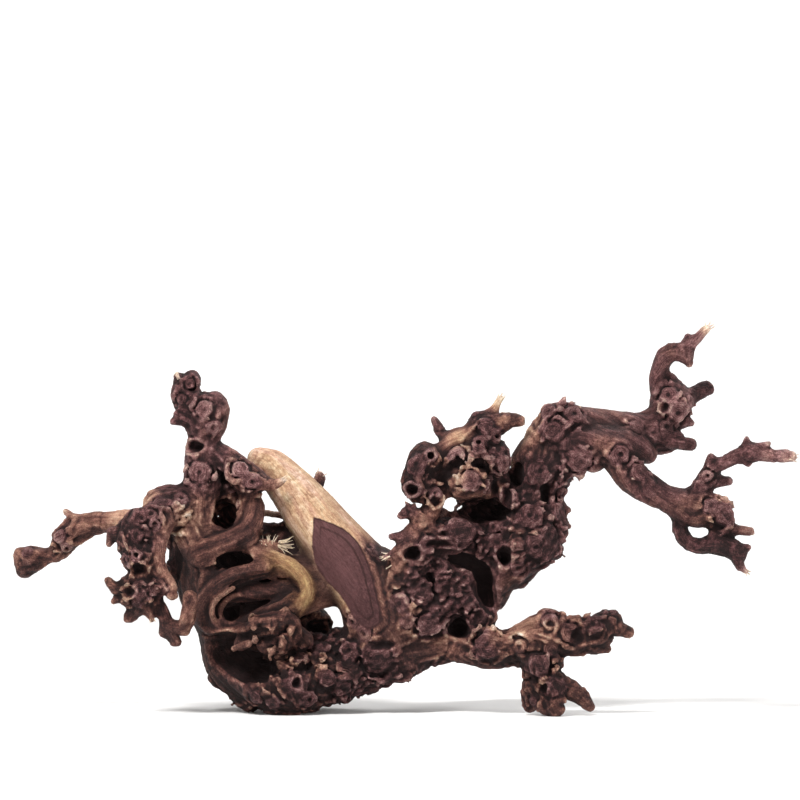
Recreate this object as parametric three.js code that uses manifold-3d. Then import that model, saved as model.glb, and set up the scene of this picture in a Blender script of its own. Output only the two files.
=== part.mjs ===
// A dry root: the gnarled, burled rootstock of a shrub, washed and dried. It rests on its belly, a heel and
// a foot. Millimetres, +Z up, -Y is the side that shows best. The wood grew as one, so it is one solid.
// Limbs are swept along splines, burls swell out of them and hollows are cut into them, all as signed
// distances on a grid; one surface is then drawn round the lot and thinned out.
import * as THREE from "three";
import { mergeVertices } from "three/addons/utils/BufferGeometryUtils.js";
import Module from "manifold-3d";

// Driving dimensions
const LIMB_BLEND = 5; // how softly one limb runs into the next
const KNOT_BLEND = 2.2; // how softly a knot runs into its limb
const HOLLOW_BLEND = 1.6; // how rounded the lip of a hollow is
const KNOT_PROUD = 0.5; // share of a knot's radius that stands out of the wood
const EYE_RADIUS = 0.34; // of the dimple in a large knot, as a share of the knot's radius
const EYED_FROM = 6.5; // a knot of at least this radius has a dimple
const BURLED_FROM = 8; // a limb of at least this radius carries small burls
const BURL_SPACING = 15; // from one small burl to the next
const BURL_SMALLEST = 4.6;
const BURL_LARGEST = 7.6;
const FLOOR = { length: 900, depth: 600, height: 60 }; // the block that levels the underside

// Quality of the surface
const GRID_STEP = 3; // spacing of the samples
const SPLINE_STEP = 4; // length of one straight piece of a limb
const MOST_TRIANGLES = 11400;
const LEAST_COSINE = 0.35; // how far a triangle may turn when it is thinned out
const SLIVER = 0.03; // twice the area over the sum of the squared edges of the thinnest triangle wanted
const LONG_EDGE_COST = 0.004; // keeps the triangles even

// Limbs: x, y, z of points along the middle of each, and its radius there
const LIMBS = {
  // The belly of the root, and what it rests on
  base: [[-116, 2, 62, 16], [-116, 2, 48, 19.5], [-109, 0, 34, 22.5], [-94, 0, 27, 24], [-76, 0, 25, 24],
    [-56, 2, 26, 23], [-38, 2, 31, 21], [-20, 0, 37, 20.5], [0, -3, 43, 20.5], [18, -5, 46.5, 16],
    [32, -7, 47, 11.5]],
  base_front: [[-102, -14, 30, 16], [-82, -20, 18.5, 20.4], [-60, -17, 21, 17], [-40, -12, 28, 15]],
  base_back: [[-112, 32, 52, 16], [-100, 36, 36, 18], [-78, 40, 26, 20], [-52, 36, 28, 18],
    [-28, 28, 38, 16]],
  heel: [[-80, 34, 34, 17], [-84, 56, 28, 13], [-88, 74, 20, 10], [-90, 90, 11, 8], [-91, 97, 5.5, 6.8]],
  base_ridge: [[-104, -22, 48, 7], [-97, -26, 58, 7], [-88, -28, 61, 7], [-79, -28, 63, 6.5],
    [-73, -26, 56, 6.5], [-66, -22, 49, 7]],
  dark_lobe: [[-68, 18, 54, 11], [-57, 20, 55, 10.5]],
  // The swirl of smooth wood over the belly, and the folds round the great hollow
  swirl: [[-128, 5, 112, 18], [-126, 2, 98, 24], [-121, 2, 84, 29], [-112, 2, 72, 29.5], [-105, 3, 62, 27]],
  swirl_front: [[-112, -4, 82, 26], [-95, -6, 82, 23], [-80, -6, 82, 18], [-72, -5, 82, 15]],
  swirl_back: [[-122, 20, 104, 16], [-112, 26, 88, 20], [-96, 26, 78, 20], [-76, 22, 80, 16]],
  fold_rim_top: [[-131, -22, 62, 5.5], [-132, -26, 74, 5.5], [-123, -30, 86, 6], [-108, -32, 94, 6],
    [-92, -32, 98, 5.5]],
  fold_rim_low: [[-131, -22, 62, 5.5], [-124, -26, 55, 5], [-112, -28, 54, 5], [-100, -28, 58, 5],
    [-88, -27, 64, 5], [-76, -25, 68, 5.5]],
  pale_loop: [[-97, -24, 103, 7.5], [-84, -28, 101.5, 6.5], [-74, -30, 98, 6], [-67, -30, 91, 6],
    [-64, -28, 82, 6.5], [-68, -24, 73, 7.5], [-78, -16, 67, 9]],
  pale_tuft: [[-98, -6, 108, 8], [-88, -8, 112, 7.5], [-80, -6, 112, 6]],
  sweep: [[-92, 0, 84, 20], [-74, 0, 85, 19], [-60, 2, 87, 17.5], [-46, 8, 90, 16], [-32, 12, 94, 15],
    [-16, 12, 94, 16]],
  // The tower of burls on the left, with its shoulder and crown
  tower: [[-130, 2, 104, 20], [-134, 2, 118, 18], [-134, 2, 130, 15], [-134, 2, 142, 12.5],
    [-133.5, 2, 155, 12.5], [-133.5, 2, 168, 12.5], [-133.5, 2, 178, 10.5], [-130.5, 2, 186, 10.5],
    [-128.5, 1, 194, 12], [-127.5, 0, 200, 12], [-125.5, 0, 205, 8]],
  tower_back: [[-124, 12, 160, 8], [-118, 14, 144, 9], [-113, 14, 126, 11], [-108, 12, 106, 14]],
  shoulder: [[-124, 0, 172, 8], [-115, -4, 167, 9], [-108, -7, 160, 9.5], [-101, -9, 155, 9.5],
    [-93, -13, 153, 6], [-86, -16, 152, 3.6], [-80, -18, 154.5, 2.2]],
  pillar: [[-106, -2, 156, 8], [-103, -2, 146, 7.5], [-103, -3, 134, 7.5], [-106, -4, 122, 9],
    [-112, -4, 110, 13]],
  cross_root: [[-132, -18, 106, 9], [-118, -22, 113, 8], [-106, -20, 119, 7.5], [-100, -14, 127, 6.5],
    [-99, -8, 136, 6]],
  left_lobe: [[-140, 0, 140, 11], [-152, -2, 140, 11], [-161.5, -4, 138, 11.6], [-165, -4, 134, 8.5]],
  crown: [[-134, 2, 190, 9], [-141, 4, 197, 8], [-146, 6, 205, 7], [-149, 7, 212, 5.8], [-146, 7, 218, 5.8],
    [-141, 6, 220.5, 5]],
  crown_horn_left: [[-147, 7, 218, 3.6], [-150.5, 7, 224, 2.4]],
  crown_horn_right: [[-142, 6, 221, 4.4], [-140.5, 6, 224, 3]],
  crown_spur: [[-140, -2, 192, 6], [-147, -5, 194.5, 4.4], [-153, -6, 193.5, 2.8]],
  crown_thorn: [[-147, -5, 195, 3], [-151, -6, 199, 2]],
  crown_knob: [[-143, 2, 206, 5], [-138, 0, 209, 4]],
  // The long arm to the left
  left_arm: [[-148, 4, 126, 10], [-165, 6, 127, 8], [-182, 9, 127.5, 7.3], [-197, 12, 126, 6.8],
    [-208, 15, 124.2, 7.4], [-219, 18, 119, 9.8], [-227, 21, 114, 9.8], [-231, 23, 107.5, 7],
    [-237, 25, 103.8, 5.4], [-245, 27, 102.8, 6.4], [-252, 29, 103, 6.6], [-257, 30, 103.5, 5.2]],
  left_arm_spur: [[-205, 14, 127, 4], [-215, 16, 129.5, 2.8], [-222, 17, 130.5, 2.4], [-226, 18, 133, 2.3]],
  left_arm_end: [[-246, 27, 99, 5], [-254, 29, 95, 6.6]],
  // The cluster of knots and spikes that hangs at the left, and its twigs
  cluster: [[-150, -8, 132, 10], [-162, -18, 130, 8], [-173, -26, 125, 9], [-177, -30, 115, 10.5],
    [-174, -32, 104, 10.5], [-172, -32, 94, 9.8], [-172, -31, 84, 10], [-174, -30, 75, 8],
    [-178, -29, 68, 5.5], [-181, -28, 64, 4.6]],
  cluster_spur_top: [[-184, -28, 119, 5.5], [-191, -27, 120, 4.2], [-194, -27, 113, 2.2]],
  cluster_horn: [[-180, -32, 86, 5], [-189, -33, 84, 4], [-194.5, -33, 89, 2.8]],
  cluster_thorn: [[-180, -31, 77, 4.5], [-187, -32, 76.5, 2.4], [-191, -32, 75, 2]],
  cluster_spike: [[-170, -32, 76, 5], [-167.5, -34, 68, 3.6], [-165.5, -34, 63, 2.2]],
  pale_droop: [[-150, -20, 128, 8], [-159, -30, 119, 6], [-163, -35, 109, 5.4], [-162, -37, 99, 5],
    [-157.5, -38, 91, 5.2], [-153, -39, 84.5, 5.2], [-151.5, -39, 80, 4]],
  droop_back: [[-142, 0, 124, 10], [-147, -4, 108, 9], [-144, -2, 92, 10]],
  twig_low: [[-168, -28, 84, 6], [-163.5, -29, 76, 5.2], [-158, -30, 67, 4.8], [-154.5, -31, 58, 4.4],
    [-150, -32, 49, 4.4]],
  twig_low_spur: [[-154, -31, 57, 4], [-158.5, -31, 54.5, 2.4]],
  twig_turned: [[-155.5, -31, 61, 4], [-148.5, -35, 58, 4.4], [-142, -38, 60.5, 4.6], [-140.5, -39, 68, 5],
    [-140, -39, 76, 4.2], [-140, -38, 81, 2.8]],
  twig_turned_spur: [[-146, -36, 58, 3.5], [-143, -38, 55, 2.5]],
  // The cut trunk of bare wood, and where it runs into the burls
  trunk: [[-96, 16, 168, 8.5], [-88, 13, 163, 12], [-78, 9, 152.5, 14.5], [-62, 4, 133, 18],
    [-46, -2, 113, 20.5], [-31, -6, 95, 23], [-18, -8, 80, 25], [-8, -8, 66, 25]],
  trunk_foot: [[-20, -7, 76, 19], [-20, -6, 62, 19], [-18, -4, 50, 20]],
  // The great burl and the column that leans out of it
  burl_core: [[-12, -2, 52, 24], [4, 0, 66, 28], [18, 2, 84, 28], [32, 4, 98, 26], [48, 6, 109, 24],
    [62, 6, 120, 23], [75, 4, 130, 22], [84, 2, 142, 20], [90, 0, 156, 18], [95, -1, 170, 17.5],
    [101, -2, 183, 16.5], [107, -3, 191, 14]],
  burl_right: [[38, -4, 62, 14], [49, -4, 73, 11], [58, -5, 86, 13.5], [69, -6, 100, 16],
    [84, -6, 113, 19.5], [87, -6, 126, 18], [90, -5, 140, 14]],
  burl_tie: [[46, -10, 52, 9], [56, -12, 62, 6], [56, -10, 72, 8]],
  burl_left: [[-10, -12, 78, 20], [0, -16, 92, 16], [8, -18, 104, 12], [18, -18, 112, 12],
    [32, -18, 119, 12], [44, -16, 121, 10]],
  burl_back: [[-10, 24, 60, 18], [8, 33, 70, 20], [30, 40, 88, 22], [55, 42, 107, 21], [76, 34, 128, 17]],
  // The crest of roots over the burl, and the plait that hangs from it
  crest_left: [[20, -16, 150, 9], [13.5, -22, 148, 10], [9, -25, 152, 11], [9.5, -25, 162, 9.8],
    [12, -23, 170, 9.2], [13.5, -20, 175, 5.2]],
  crest: [[15, -18, 165, 10], [24, -16, 170, 8.5], [33, -14, 178, 7.8], [43, -14, 184, 6.8],
    [52, -14, 189, 7.6], [60, -14, 191, 8.6], [70, -14, 194, 6.8], [78, -14, 195, 5]],
  crest_body: [[40, -12, 173, 12], [52, -14, 175, 14.5], [60, -14, 172, 10.5], [63, -12, 163, 8]],
  crest_arch: [[31, -16, 158, 6.5], [33, -18, 167, 8], [40, -18, 170, 8]],
  crest_knob: [[50, -14, 190, 6], [49.5, -14, 196.5, 3.8]],
  crest_stick: [[57, -14, 196, 3.6], [61, -14, 203, 2.6], [64.5, -14, 209, 2.2]],
  crest_horn: [[36, -10, 183, 6], [28.5, -9, 183, 5], [23.5, -9, 189, 4.3], [20.5, -9, 194.5, 3]],
  tongue: [[60, -4, 150, 12], [48, -10, 152, 13], [40, -13, 154, 12], [36, -14, 151, 9]],
  crest_stem: [[50, 6, 150, 16], [62, 8, 140, 18], [72, 6, 130, 18]],
  plait: [[22, -20, 150, 8], [22, -24, 142, 6.2], [17.5, -27, 133, 6.2], [10, -29, 125, 6.2],
    [4, -30, 117, 5.6], [0, -30, 109, 4.8], [-3, -30, 102, 4.2], [-4, -30, 98.5, 3]],
  plait_finger: [[-2, -30, 109, 3], [-8, -32, 106, 2.4], [-12, -32, 104, 2]],
  plait_knob: [[12, -29, 129, 5], [5, -31, 134, 4.6], [-1, -32, 132, 2.6]],
  plait_side: [[4, -30, 119, 4.4], [-3, -32, 118, 3.2], [-8, -32, 118, 2.6]],
  plait_tie: [[20, -14, 137, 2.6], [30, -6, 132, 2.6], [38, 0, 126, 4]],
  // The upper arm to the right, with its hook and stubs
  strut: [[80, 4, 168, 8], [87.5, 4, 178, 7.5], [94.5, 2, 189, 8], [100, 0, 197, 8]],
  upper_arm: [[98, -2, 196, 10], [110, -1, 193, 12.5], [124, 2, 191, 12], [138, 5, 190, 11.3],
    [150, 8, 189, 11.3], [161, 11, 189.5, 10.5], [172, 14, 195, 11], [180, 15, 204, 13],
    [182, 15, 210, 10]],
  under_arm: [[104, -6, 180, 12], [113, -8, 172, 11], [121, -9, 170, 9], [126, -9, 166, 6.5]],
  arm_twist: [[104, -5, 184, 11], [118, -8, 182, 9], [132, -10, 180, 9.5], [146, -8, 178, 10.5],
    [157, -3, 175, 9.5], [163, 0, 172, 6.5]],
  arm_join: [[165, 10, 183, 12], [172, 12, 181, 10.5], [178, 11, 182, 8.5], [183, 8, 183, 5.5]],
  head_horn: [[180, 14, 213, 7], [181, 14, 219, 4], [181, 14, 222.5, 2.8]],
  peg: [[180, 2, 181, 5], [187, 0, 179.5, 4.2], [192, 0, 178.5, 4]],
  head_stub: [[182, 13, 197, 7], [188, 13, 194, 5], [193, 13, 192.5, 3]],
  hook: [[171.5, 13, 211, 5], [170, 12, 219, 5.4], [171.5, 11, 227, 6], [174.5, 10, 235, 6.2],
    [180, 9, 239.5, 6], [185.5, 8, 239.5, 5.4], [189.5, 7, 236, 4.4], [191, 7, 232.5, 2.8]],
  hook_knob: [[176, 9, 240, 4.5], [178, 9, 243.5, 2.8]],
  hook_stick: [[187, 7, 241, 5], [193, 6, 246, 3.6], [199, 5, 252, 3], [203, 4, 256, 2.6]],
  hook_spur: [[189, 7, 243, 3.2], [190, 7, 249, 2.2], [190, 7, 251, 1.9]],
  side_stub: [[184, 18, 207, 7], [193, 21, 211, 5.6], [200, 23, 214, 5.6], [205, 25, 216, 4.8]],
  // The lower arm to the right, with its two sprays of twigs
  right_arm: [[140, -10, 172, 7], [145, -12, 164, 9.5], [152, -13, 155, 10], [162, -14, 147.5, 9.3],
    [173, -15, 142.5, 8.8], [184, -16, 139, 10.6], [195, -17, 136, 12.3], [203.5, -18, 134, 10],
    [209, -18, 131, 8.2]],
  right_flake: [[156, -11, 160, 6.2], [164, -11, 155, 4.6], [172, -11, 150.5, 3]],
  twig_up: [[193, -17, 143, 7], [198, -20, 150.5, 7], [202, -23, 157, 6.5], [206, -25, 163, 5],
    [212, -28, 166.5, 4.4], [220, -31, 171, 4.2], [228, -33, 173.5, 4.6], [236, -35, 172.5, 4.6],
    [245, -37, 171, 4.8], [251, -39, 171, 4.8], [255, -40, 170.5, 3.8]],
  twig_up_spur: [[202, -23, 161, 4.6], [203, -24, 166, 3.4], [203.5, -24, 170.5, 2.8]],
  twig_up_stub: [[204, -21, 156, 4.5], [210, -21, 154.5, 3.4], [215, -21, 154.5, 3]],
  twig_up_thorn: [[226, -33, 176, 2.8], [226.5, -33, 182.5, 2]],
  twig_up_curl: [[231, -34, 175.5, 2.8], [237, -36, 178.5, 2.2], [241, -37, 179.5, 2]],
  twig_up_heel: [[227, -33, 170, 3.2], [227.5, -33, 165.5, 2.2]],
  twig_down: [[183, -13, 130, 4.8], [183.5, -13, 122, 4.8], [187.5, -14, 115.5, 5], [194.5, -16, 111.5, 5],
    [202, -18, 112, 5.4], [209.5, -20, 112.5, 6], [216.5, -21, 110, 5], [221, -22, 103, 4],
    [223, -23, 97.5, 3.4], [227, -24, 94.5, 2.2]],
  twig_down_tie: [[206.5, -19, 115, 5.5], [210, -17, 121, 6], [211, -18, 127, 7]],
  finger_long: [[210, -18, 121, 4.5], [219, -19, 120.5, 3.2], [228, -20, 119, 2.7]],
  finger_short: [[216, -20, 112, 4.5], [223, -22, 112.5, 3.8], [227.5, -22, 112.5, 2.2]],
  finger_thorn: [[220, -22, 109, 3.4], [224, -23, 105, 2.2]],
  // The root that runs out to the right, and the foot under it
  foot_arm: [[30, -7, 47, 11], [44, -12, 45, 12], [58, -18, 43.5, 13], [71, -23, 44, 11.5],
    [82, -26, 48, 13.5], [94, -28, 54, 13], [106, -29, 52, 13], [118, -30, 52.5, 12.6],
    [127, -31, 54, 11.5], [135.5, -32, 58.5, 8.2], [143.5, -33, 56, 5.4], [148.5, -33, 54.5, 4]],
  foot_arm_knob: [[131, -32, 61, 7], [138.5, -32, 65, 4.6]],
  foot_arm_spur: [[125, -30, 46.5, 6.4], [131, -31, 43.5, 3.8], [135, -31, 43, 3]],
  foot: [[88, -28, 46, 13], [91, -30, 34, 12], [91.5, -32, 24, 11], [94.5, -35, 15, 9.5], [98, -38, 7.5, 8],
    [100, -39, 4.5, 6.4]],
  toe_left: [[86, -27, 18, 7], [84.5, -26, 10, 6], [83.5, -26, 6.5, 5]],
  toe_right: [[99, -33, 24, 7.5], [107, -34, 18.5, 6.2], [114.5, -34, 14, 5.8], [120, -34, 9, 4.6],
    [123.5, -34, 6, 3.4]],
  // Roots on the far side
  back_root: [[-92, 32, 92, 15], [-78, 42, 108, 11], [-67, 46, 128, 7.5], [-60, 46, 146, 4.8],
    [-57, 45, 157.5, 3.2]],
  back_root_spur: [[-58.5, 45, 149, 3.8], [-54.5, 45, 154.5, 2.4]],
  back_tie: [[-102, 4, 134, 3], [-92, 20, 132, 2.4], [-80, 34, 130, 2.4], [-68, 44, 129, 4]],
  back_swirl: [[-118, 28, 88, 15], [-128, 50, 92, 9], [-132, 66, 87, 7], [-131, 78, 79, 5.2]],
  back_tower: [[-128, 8, 150, 10], [-124, 24, 156, 7], [-120, 36, 163, 5.2], [-119, 45, 165, 4.2]],
  back_stub: [[68, 36, 118, 13], [73, 56, 131, 9], [77, 71, 139, 6.8], [81, 82, 142, 5.4]],
  back_low: [[26, 40, 80, 14], [34, 62, 75, 9], [40, 77, 66, 6.8], [43, 87, 59, 5.4]],
};

// Limbs of smooth wood, which carry no small burls
const SMOOTH = ["trunk", "trunk_foot", "sweep", "pale_loop", "pale_tuft", "pale_droop", "swirl",
  "swirl_front", "cross_root", "pillar", "left_arm", "strut", "crest", "plait", "arm_twist", "right_arm",
  "hook"];

// Knots on the front: x, z and radius. Each stands out of the wood at that place.
const KNOTS = [
  // Tower, cluster and left arm
  [-135, 160, 9], [-126, 190, 6], [-132, 202, 7], [-108, 162, 7], [-100, 154, 6], [-110, 138, 4],
  [-160, 139, 8], [-166, 132, 5], [-176, 119, 6], [-182, 103, 6], [-175, 106, 4.5], [-172, 83, 6.5],
  [-175, 75, 4.5], [-164, 126, 5], [-230, 117, 6], [-225, 109, 5], [-252, 106, 4.5], [-147, 208, 5],
  [-142, 219, 4.6],
  // Belly
  [-70, 22, 10], [-17, 37, 12], [-36, 42, 8], [-55, 43, 8], [-40, 18, 8], [-62, 11, 7], [-86, 8, 6.5],
  [-97, 12, 6], [-92, 50, 7], [-68, 36, 7], [-25, 54, 6], [-50, 24, 7], [-33, 62, 6],
  // Root and foot on the right
  [56, 46, 10.5], [77, 46, 5.5], [97, 62, 7], [89, 34, 9], [100, 19, 8], [125, 60, 7], [110, 55, 8],
  [97, 44, 6], [86, 9, 5],
  // Great burl and leaning column
  [86, 112, 8.5], [91, 160, 11], [99, 187, 8.5], [113, 198, 8], [97, 200, 6.5], [38, 121, 12], [12, 81, 10],
  [28, 85, 9], [41, 91, 8], [17, 60, 10], [3, 62, 6], [62, 114, 7], [60, 124, 5], [96, 119, 9],
  [102, 134, 8], [86, 141, 8], [71, 144, 7], [57, 152, 7.5], [24, 97, 8], [50, 64, 7], [31, 71, 8],
  [45, 75, 6], [16, 112, 8], [31, 110, 8], [94, 107, 7], [106, 124, 5], [76, 97, 6], [-2, 75, 7],
  // Crest and arms
  [8, 165, 7], [18, 171, 5], [4, 149, 7], [35, 170, 7], [50, 180, 6], [62, 184, 6], [55, 190, 6],
  [21, 146, 6], [66, 166, 7], [44, 155, 8], [121, 168, 8.5], [144, 172, 7.5], [156, 160, 7], [177, 211, 7],
  [183, 200, 8.5], [191, 207, 6], [175, 190, 6], [203, 138, 6], [212, 131, 7], [201, 158, 5], [155, 190, 6],
];

// Hollows on the front: x, z, half width, half height and depth
const HOLLOWS = [
  [-139, 177, 6, 4, 7], [-119, 131, 9, 12, 17], [-113, 103, 15, 6, 13], [-121, 47, 13, 8, 17],
  [-97, 39, 15, 5, 11], [-57, 56, 8, 7, 9], [-58, 38, 5, 4, 5], [-70, 22, 3, 3.4, 6], [-181, 82, 4.5, 4, 6],
  [-174, 97, 5, 4, 6], [5, 148, 4.5, 3.6, 8], [6, 107, 5.5, 4.4, 9], [18, 171, 3, 2.6, 4],
  [67, 104, 4.6, 6.6, 15], [37, 57, 7, 7, 15], [76, 159, 4.8, 9, 12], [98, 150, 5, 10, 9],
  [93, 177, 4.6, 5, 7], [60, 112, 3.6, 5, 6], [175, 202, 6, 5, 5], [92, 19, 3.4, 6, 7], [115, 52, 5, 8, 6],
  [54, 134, 22, 8, 22], [-14, 46, 9, 3, 4], [97, 61, 3, 2.6, 4], [23, 113, 9, 3, 7],
];

// The great hollow, an oval that leans to the right, and the folds of wood inside it
const GREAT_HOLLOW = { centre: [-98, -35, 76], half: [31, 15, 13], leanDegrees: 22 };
const FOLDS = [
  [[-124, -22, 66, 3.6], [-112, -24, 75, 4.6], [-98, -24, 81, 5], [-84, -23, 83, 4.6], [-75, -21, 82, 4]],
  [[-119, -20, 60, 4], [-105, -22, 66, 4.6], [-92, -22, 72, 4.6], [-80, -21, 74, 4]],
];

// The dark crescent that runs down through the great burl
const CRESCENT = [[24, -32, 107, 4], [34, -33, 102, 5.6], [44, -32, 98, 6.6], [52, -29, 90, 7.2],
  [55, -26, 81, 7], [57, -22, 73, 5]];

// Random numbers from 0 to 1, the same on every run
function seeded(seed) {
  let state = seed;
  return () => {
    state = (Math.imul(state, 1664525) + 1013904223) >>> 0;
    return state / 2 ** 32;
  };
}

// The straight pieces of a limb, each from one ball to the next
function piecesOf(path) {
  const points = path.map(([x, y, z]) => new THREE.Vector3(x, y, z));
  const spine = new THREE.CatmullRomCurve3(points, false, "centripetal");
  const spans = path.length - 1;
  const pieces = [];
  for (let span = 0; span < spans; span++) {
    const count = Math.max(1, Math.round(points[span].distanceTo(points[span + 1]) / SPLINE_STEP));
    const ballAt = (t) => ({
      at: spine.getPoint((span + t) / spans),
      radius: THREE.MathUtils.lerp(path[span][3], path[span + 1][3], t),
    });
    for (let i = 0; i < count; i++) pieces.push({ from: ballAt(i / count), to: ballAt((i + 1) / count) });
  }
  return pieces;
}

// Signed distance from a point to a straight piece of a limb, negative inside
function distanceToPiece(x, y, z, { from, to }) {
  const [ux, uy, uz] = [to.at.x - from.at.x, to.at.y - from.at.y, to.at.z - from.at.z];
  const [px, py, pz] = [x - from.at.x, y - from.at.y, z - from.at.z];
  const along = (px * ux + py * uy + pz * uz) / (ux * ux + uy * uy + uz * uz || 1);
  const t = THREE.MathUtils.clamp(along, 0, 1);
  const radius = THREE.MathUtils.lerp(from.radius, to.radius, t);
  return Math.hypot(px - ux * t, py - uy * t, pz - uz * t) - radius;
}

function softMin(a, b, blend) {
  const overlap = Math.max(0, blend - Math.abs(a - b)) / blend;
  return Math.min(a, b) - (overlap * overlap * blend) / 4;
}

const softMax = (a, b, blend) => -softMin(-a, -b, blend);

// Signed distances to the wood, sampled on a grid
class Field {
  constructor(low, high, step) {
    this.low = low;
    this.step = step;
    this.size = [0, 1, 2].map((i) => Math.ceil((high[i] - low[i]) / step) + 1);
    this.values = new Float32Array(this.size[0] * this.size[1] * this.size[2]).fill(10 * step);
  }

  index(i, j, k) {
    return (k * this.size[1] + j) * this.size[0] + i;
  }

  // Calls visit(index, x, y, z) for each sample in a box
  visitBox(low, high, visit) {
    const [x0, y0, z0] = this.low;
    const from = low.map((v, n) => Math.max(0, Math.floor((v - this.low[n]) / this.step)));
    const to = high.map((v, n) => Math.min(this.size[n] - 1, Math.ceil((v - this.low[n]) / this.step)));
    for (let k = from[2]; k <= to[2]; k++)
      for (let j = from[1]; j <= to[1]; j++)
        for (let i = from[0]; i <= to[0]; i++)
          visit(this.index(i, j, k), x0 + i * this.step, y0 + j * this.step, z0 + k * this.step);
  }

  // Joins a distance to the wood at one sample, or cuts it out
  merge(at, distance, blend, cut) {
    const here = this.values[at];
    this.values[at] = cut ? softMax(here, -distance, blend) : softMin(here, distance, blend);
  }

  limb(path, blend, cut = false) {
    const room = blend + 3 * this.step;
    const nearest = new Map();
    for (const piece of piecesOf(path)) {
      const reach = Math.max(piece.from.radius, piece.to.radius) + room;
      const low = piece.from.at.clone().min(piece.to.at).subScalar(reach).toArray();
      const high = piece.from.at.clone().max(piece.to.at).addScalar(reach).toArray();
      this.visitBox(low, high, (at, x, y, z) => {
        const distance = distanceToPiece(x, y, z, piece);
        if (!(nearest.get(at) <= distance)) nearest.set(at, distance);
      });
    }
    for (const [at, distance] of nearest) this.merge(at, distance, blend, cut);
  }

  // An ellipsoid that leans in the XZ plane, so that its long axis rises to the right
  oval(centre, half, blend, cut = false, leanDegrees = 0) {
    const lean = THREE.MathUtils.degToRad(leanDegrees);
    const [sin, cos] = [Math.sin(lean), Math.cos(lean)];
    const reach = Math.max(...half) + blend + 3 * this.step;
    const thinnest = Math.min(...half);
    this.visitBox(centre.map((v) => v - reach), centre.map((v) => v + reach), (at, x, y, z) => {
      const [dx, dy, dz] = [x - centre[0], y - centre[1], z - centre[2]];
      const [long, short] = [dx * cos + dz * sin, dz * cos - dx * sin];
      const share = Math.hypot(long / half[0], dy / half[1], short / half[2]);
      this.merge(at, (share - 1) * thinnest, blend, cut);
    });
  }

  ball(centre, radius, blend, cut = false) {
    this.oval(centre.toArray(), [radius, radius, radius], blend, cut);
  }

  // Where a line along +Y from the front first meets the wood, or null
  frontAt(x, z) {
    const i = Math.round((x - this.low[0]) / this.step);
    const k = Math.round((z - this.low[2]) / this.step);
    for (let j = 1; j < this.size[1]; j++) {
      const [before, after] = [this.values[this.index(i, j - 1, k)], this.values[this.index(i, j, k)]];
      const steps = j - 1 + before / (before - after);
      if (after < 0) return new THREE.Vector3(x, this.low[1] + steps * this.step, z);
    }
    return null;
  }

  // The direction out of the wood at a point
  outwardAt(point) {
    const [i, j, k] = point.toArray().map((v, n) => Math.round((v - this.low[n]) / this.step));
    const valueAt = (di, dj, dk) => this.values[this.index(i + di, j + dj, k + dk)];
    const slope = (di, dj, dk) => valueAt(di, dj, dk) - valueAt(-di, -dj, -dk);
    return new THREE.Vector3(slope(1, 0, 0), slope(0, 1, 0), slope(0, 0, 1)).normalize();
  }
}

// Small burls along a limb, each a golden angle round from the last
function burlsOn(path, random) {
  const goldenAngle = Math.PI * (3 - Math.sqrt(5));
  const burls = [];
  let turn = random() * 2 * Math.PI;
  let owed = 0;
  for (const { from, to } of piecesOf(path)) {
    const along = new THREE.Vector3().subVectors(to.at, from.at);
    const limbRadius = (from.radius + to.radius) / 2;
    owed += (2 * Math.PI * limbRadius * along.length()) / BURL_SPACING ** 2;
    along.normalize();
    const side = new THREE.Vector3(0.31, -0.72, 0.62).cross(along).normalize();
    for (; owed >= 1; owed--) {
      turn += goldenAngle;
      const radius = THREE.MathUtils.lerp(BURL_SMALLEST, BURL_LARGEST, random() ** 2);
      const outward = side.clone().applyAxisAngle(along, turn + 0.6 * random());
      const centre = new THREE.Vector3().lerpVectors(from.at, to.at, random());
      centre.addScaledVector(outward, limbRadius - 0.45 * radius);
      if (limbRadius >= BURLED_FROM) burls.push({ centre, radius });
    }
  }
  return burls;
}

function addKnots(field) {
  const seats = KNOTS.map(([x, z, radius]) => ({ at: field.frontAt(x, z), radius })).filter(({ at }) => at);
  for (const seat of seats) seat.outward = field.outwardAt(seat.at);
  for (const { at, outward, radius } of seats) {
    const centre = at.clone().addScaledVector(outward, (KNOT_PROUD - 1) * radius);
    field.ball(centre, radius, KNOT_BLEND);
  }
  for (const { at, outward, radius } of seats.filter((seat) => seat.radius >= EYED_FROM)) {
    const crown = at.clone().addScaledVector(outward, (KNOT_PROUD + 0.1) * radius);
    field.ball(crown, radius * EYE_RADIUS, KNOT_BLEND, true);
  }
}

function cutHollows(field) {
  const { centre, half, leanDegrees } = GREAT_HOLLOW;
  field.oval(centre, half, HOLLOW_BLEND, true, leanDegrees);
  for (const path of FOLDS) field.limb(path, KNOT_BLEND);
  const mouths = HOLLOWS.map(([x, z]) => field.frontAt(x, z));
  HOLLOWS.forEach(([, , halfWidth, halfHeight, depth], i) => {
    if (mouths[i]) field.oval(mouths[i].toArray(), [halfWidth, depth, halfHeight], HOLLOW_BLEND, true);
  });
  field.limb(CRESCENT, HOLLOW_BLEND, true);
}

function makeField() {
  const margin = 14;
  const points = Object.values(LIMBS).flat();
  const low = [0, 1, 2].map((i) => Math.min(...points.map((p) => p[i] - p[3])) - margin);
  const high = [0, 1, 2].map((i) => Math.max(...points.map((p) => p[i] + p[3])) + margin);
  const field = new Field(low, high, GRID_STEP);
  for (const path of Object.values(LIMBS)) field.limb(path, LIMB_BLEND);
  const random = seeded(41);
  const burled = Object.keys(LIMBS).filter((name) => !SMOOTH.includes(name));
  for (const name of burled)
    for (const { centre, radius } of burlsOn(LIMBS[name], random)) field.ball(centre, radius, KNOT_BLEND);
  addKnots(field);
  cutHollows(field);
  return field;
}

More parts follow.
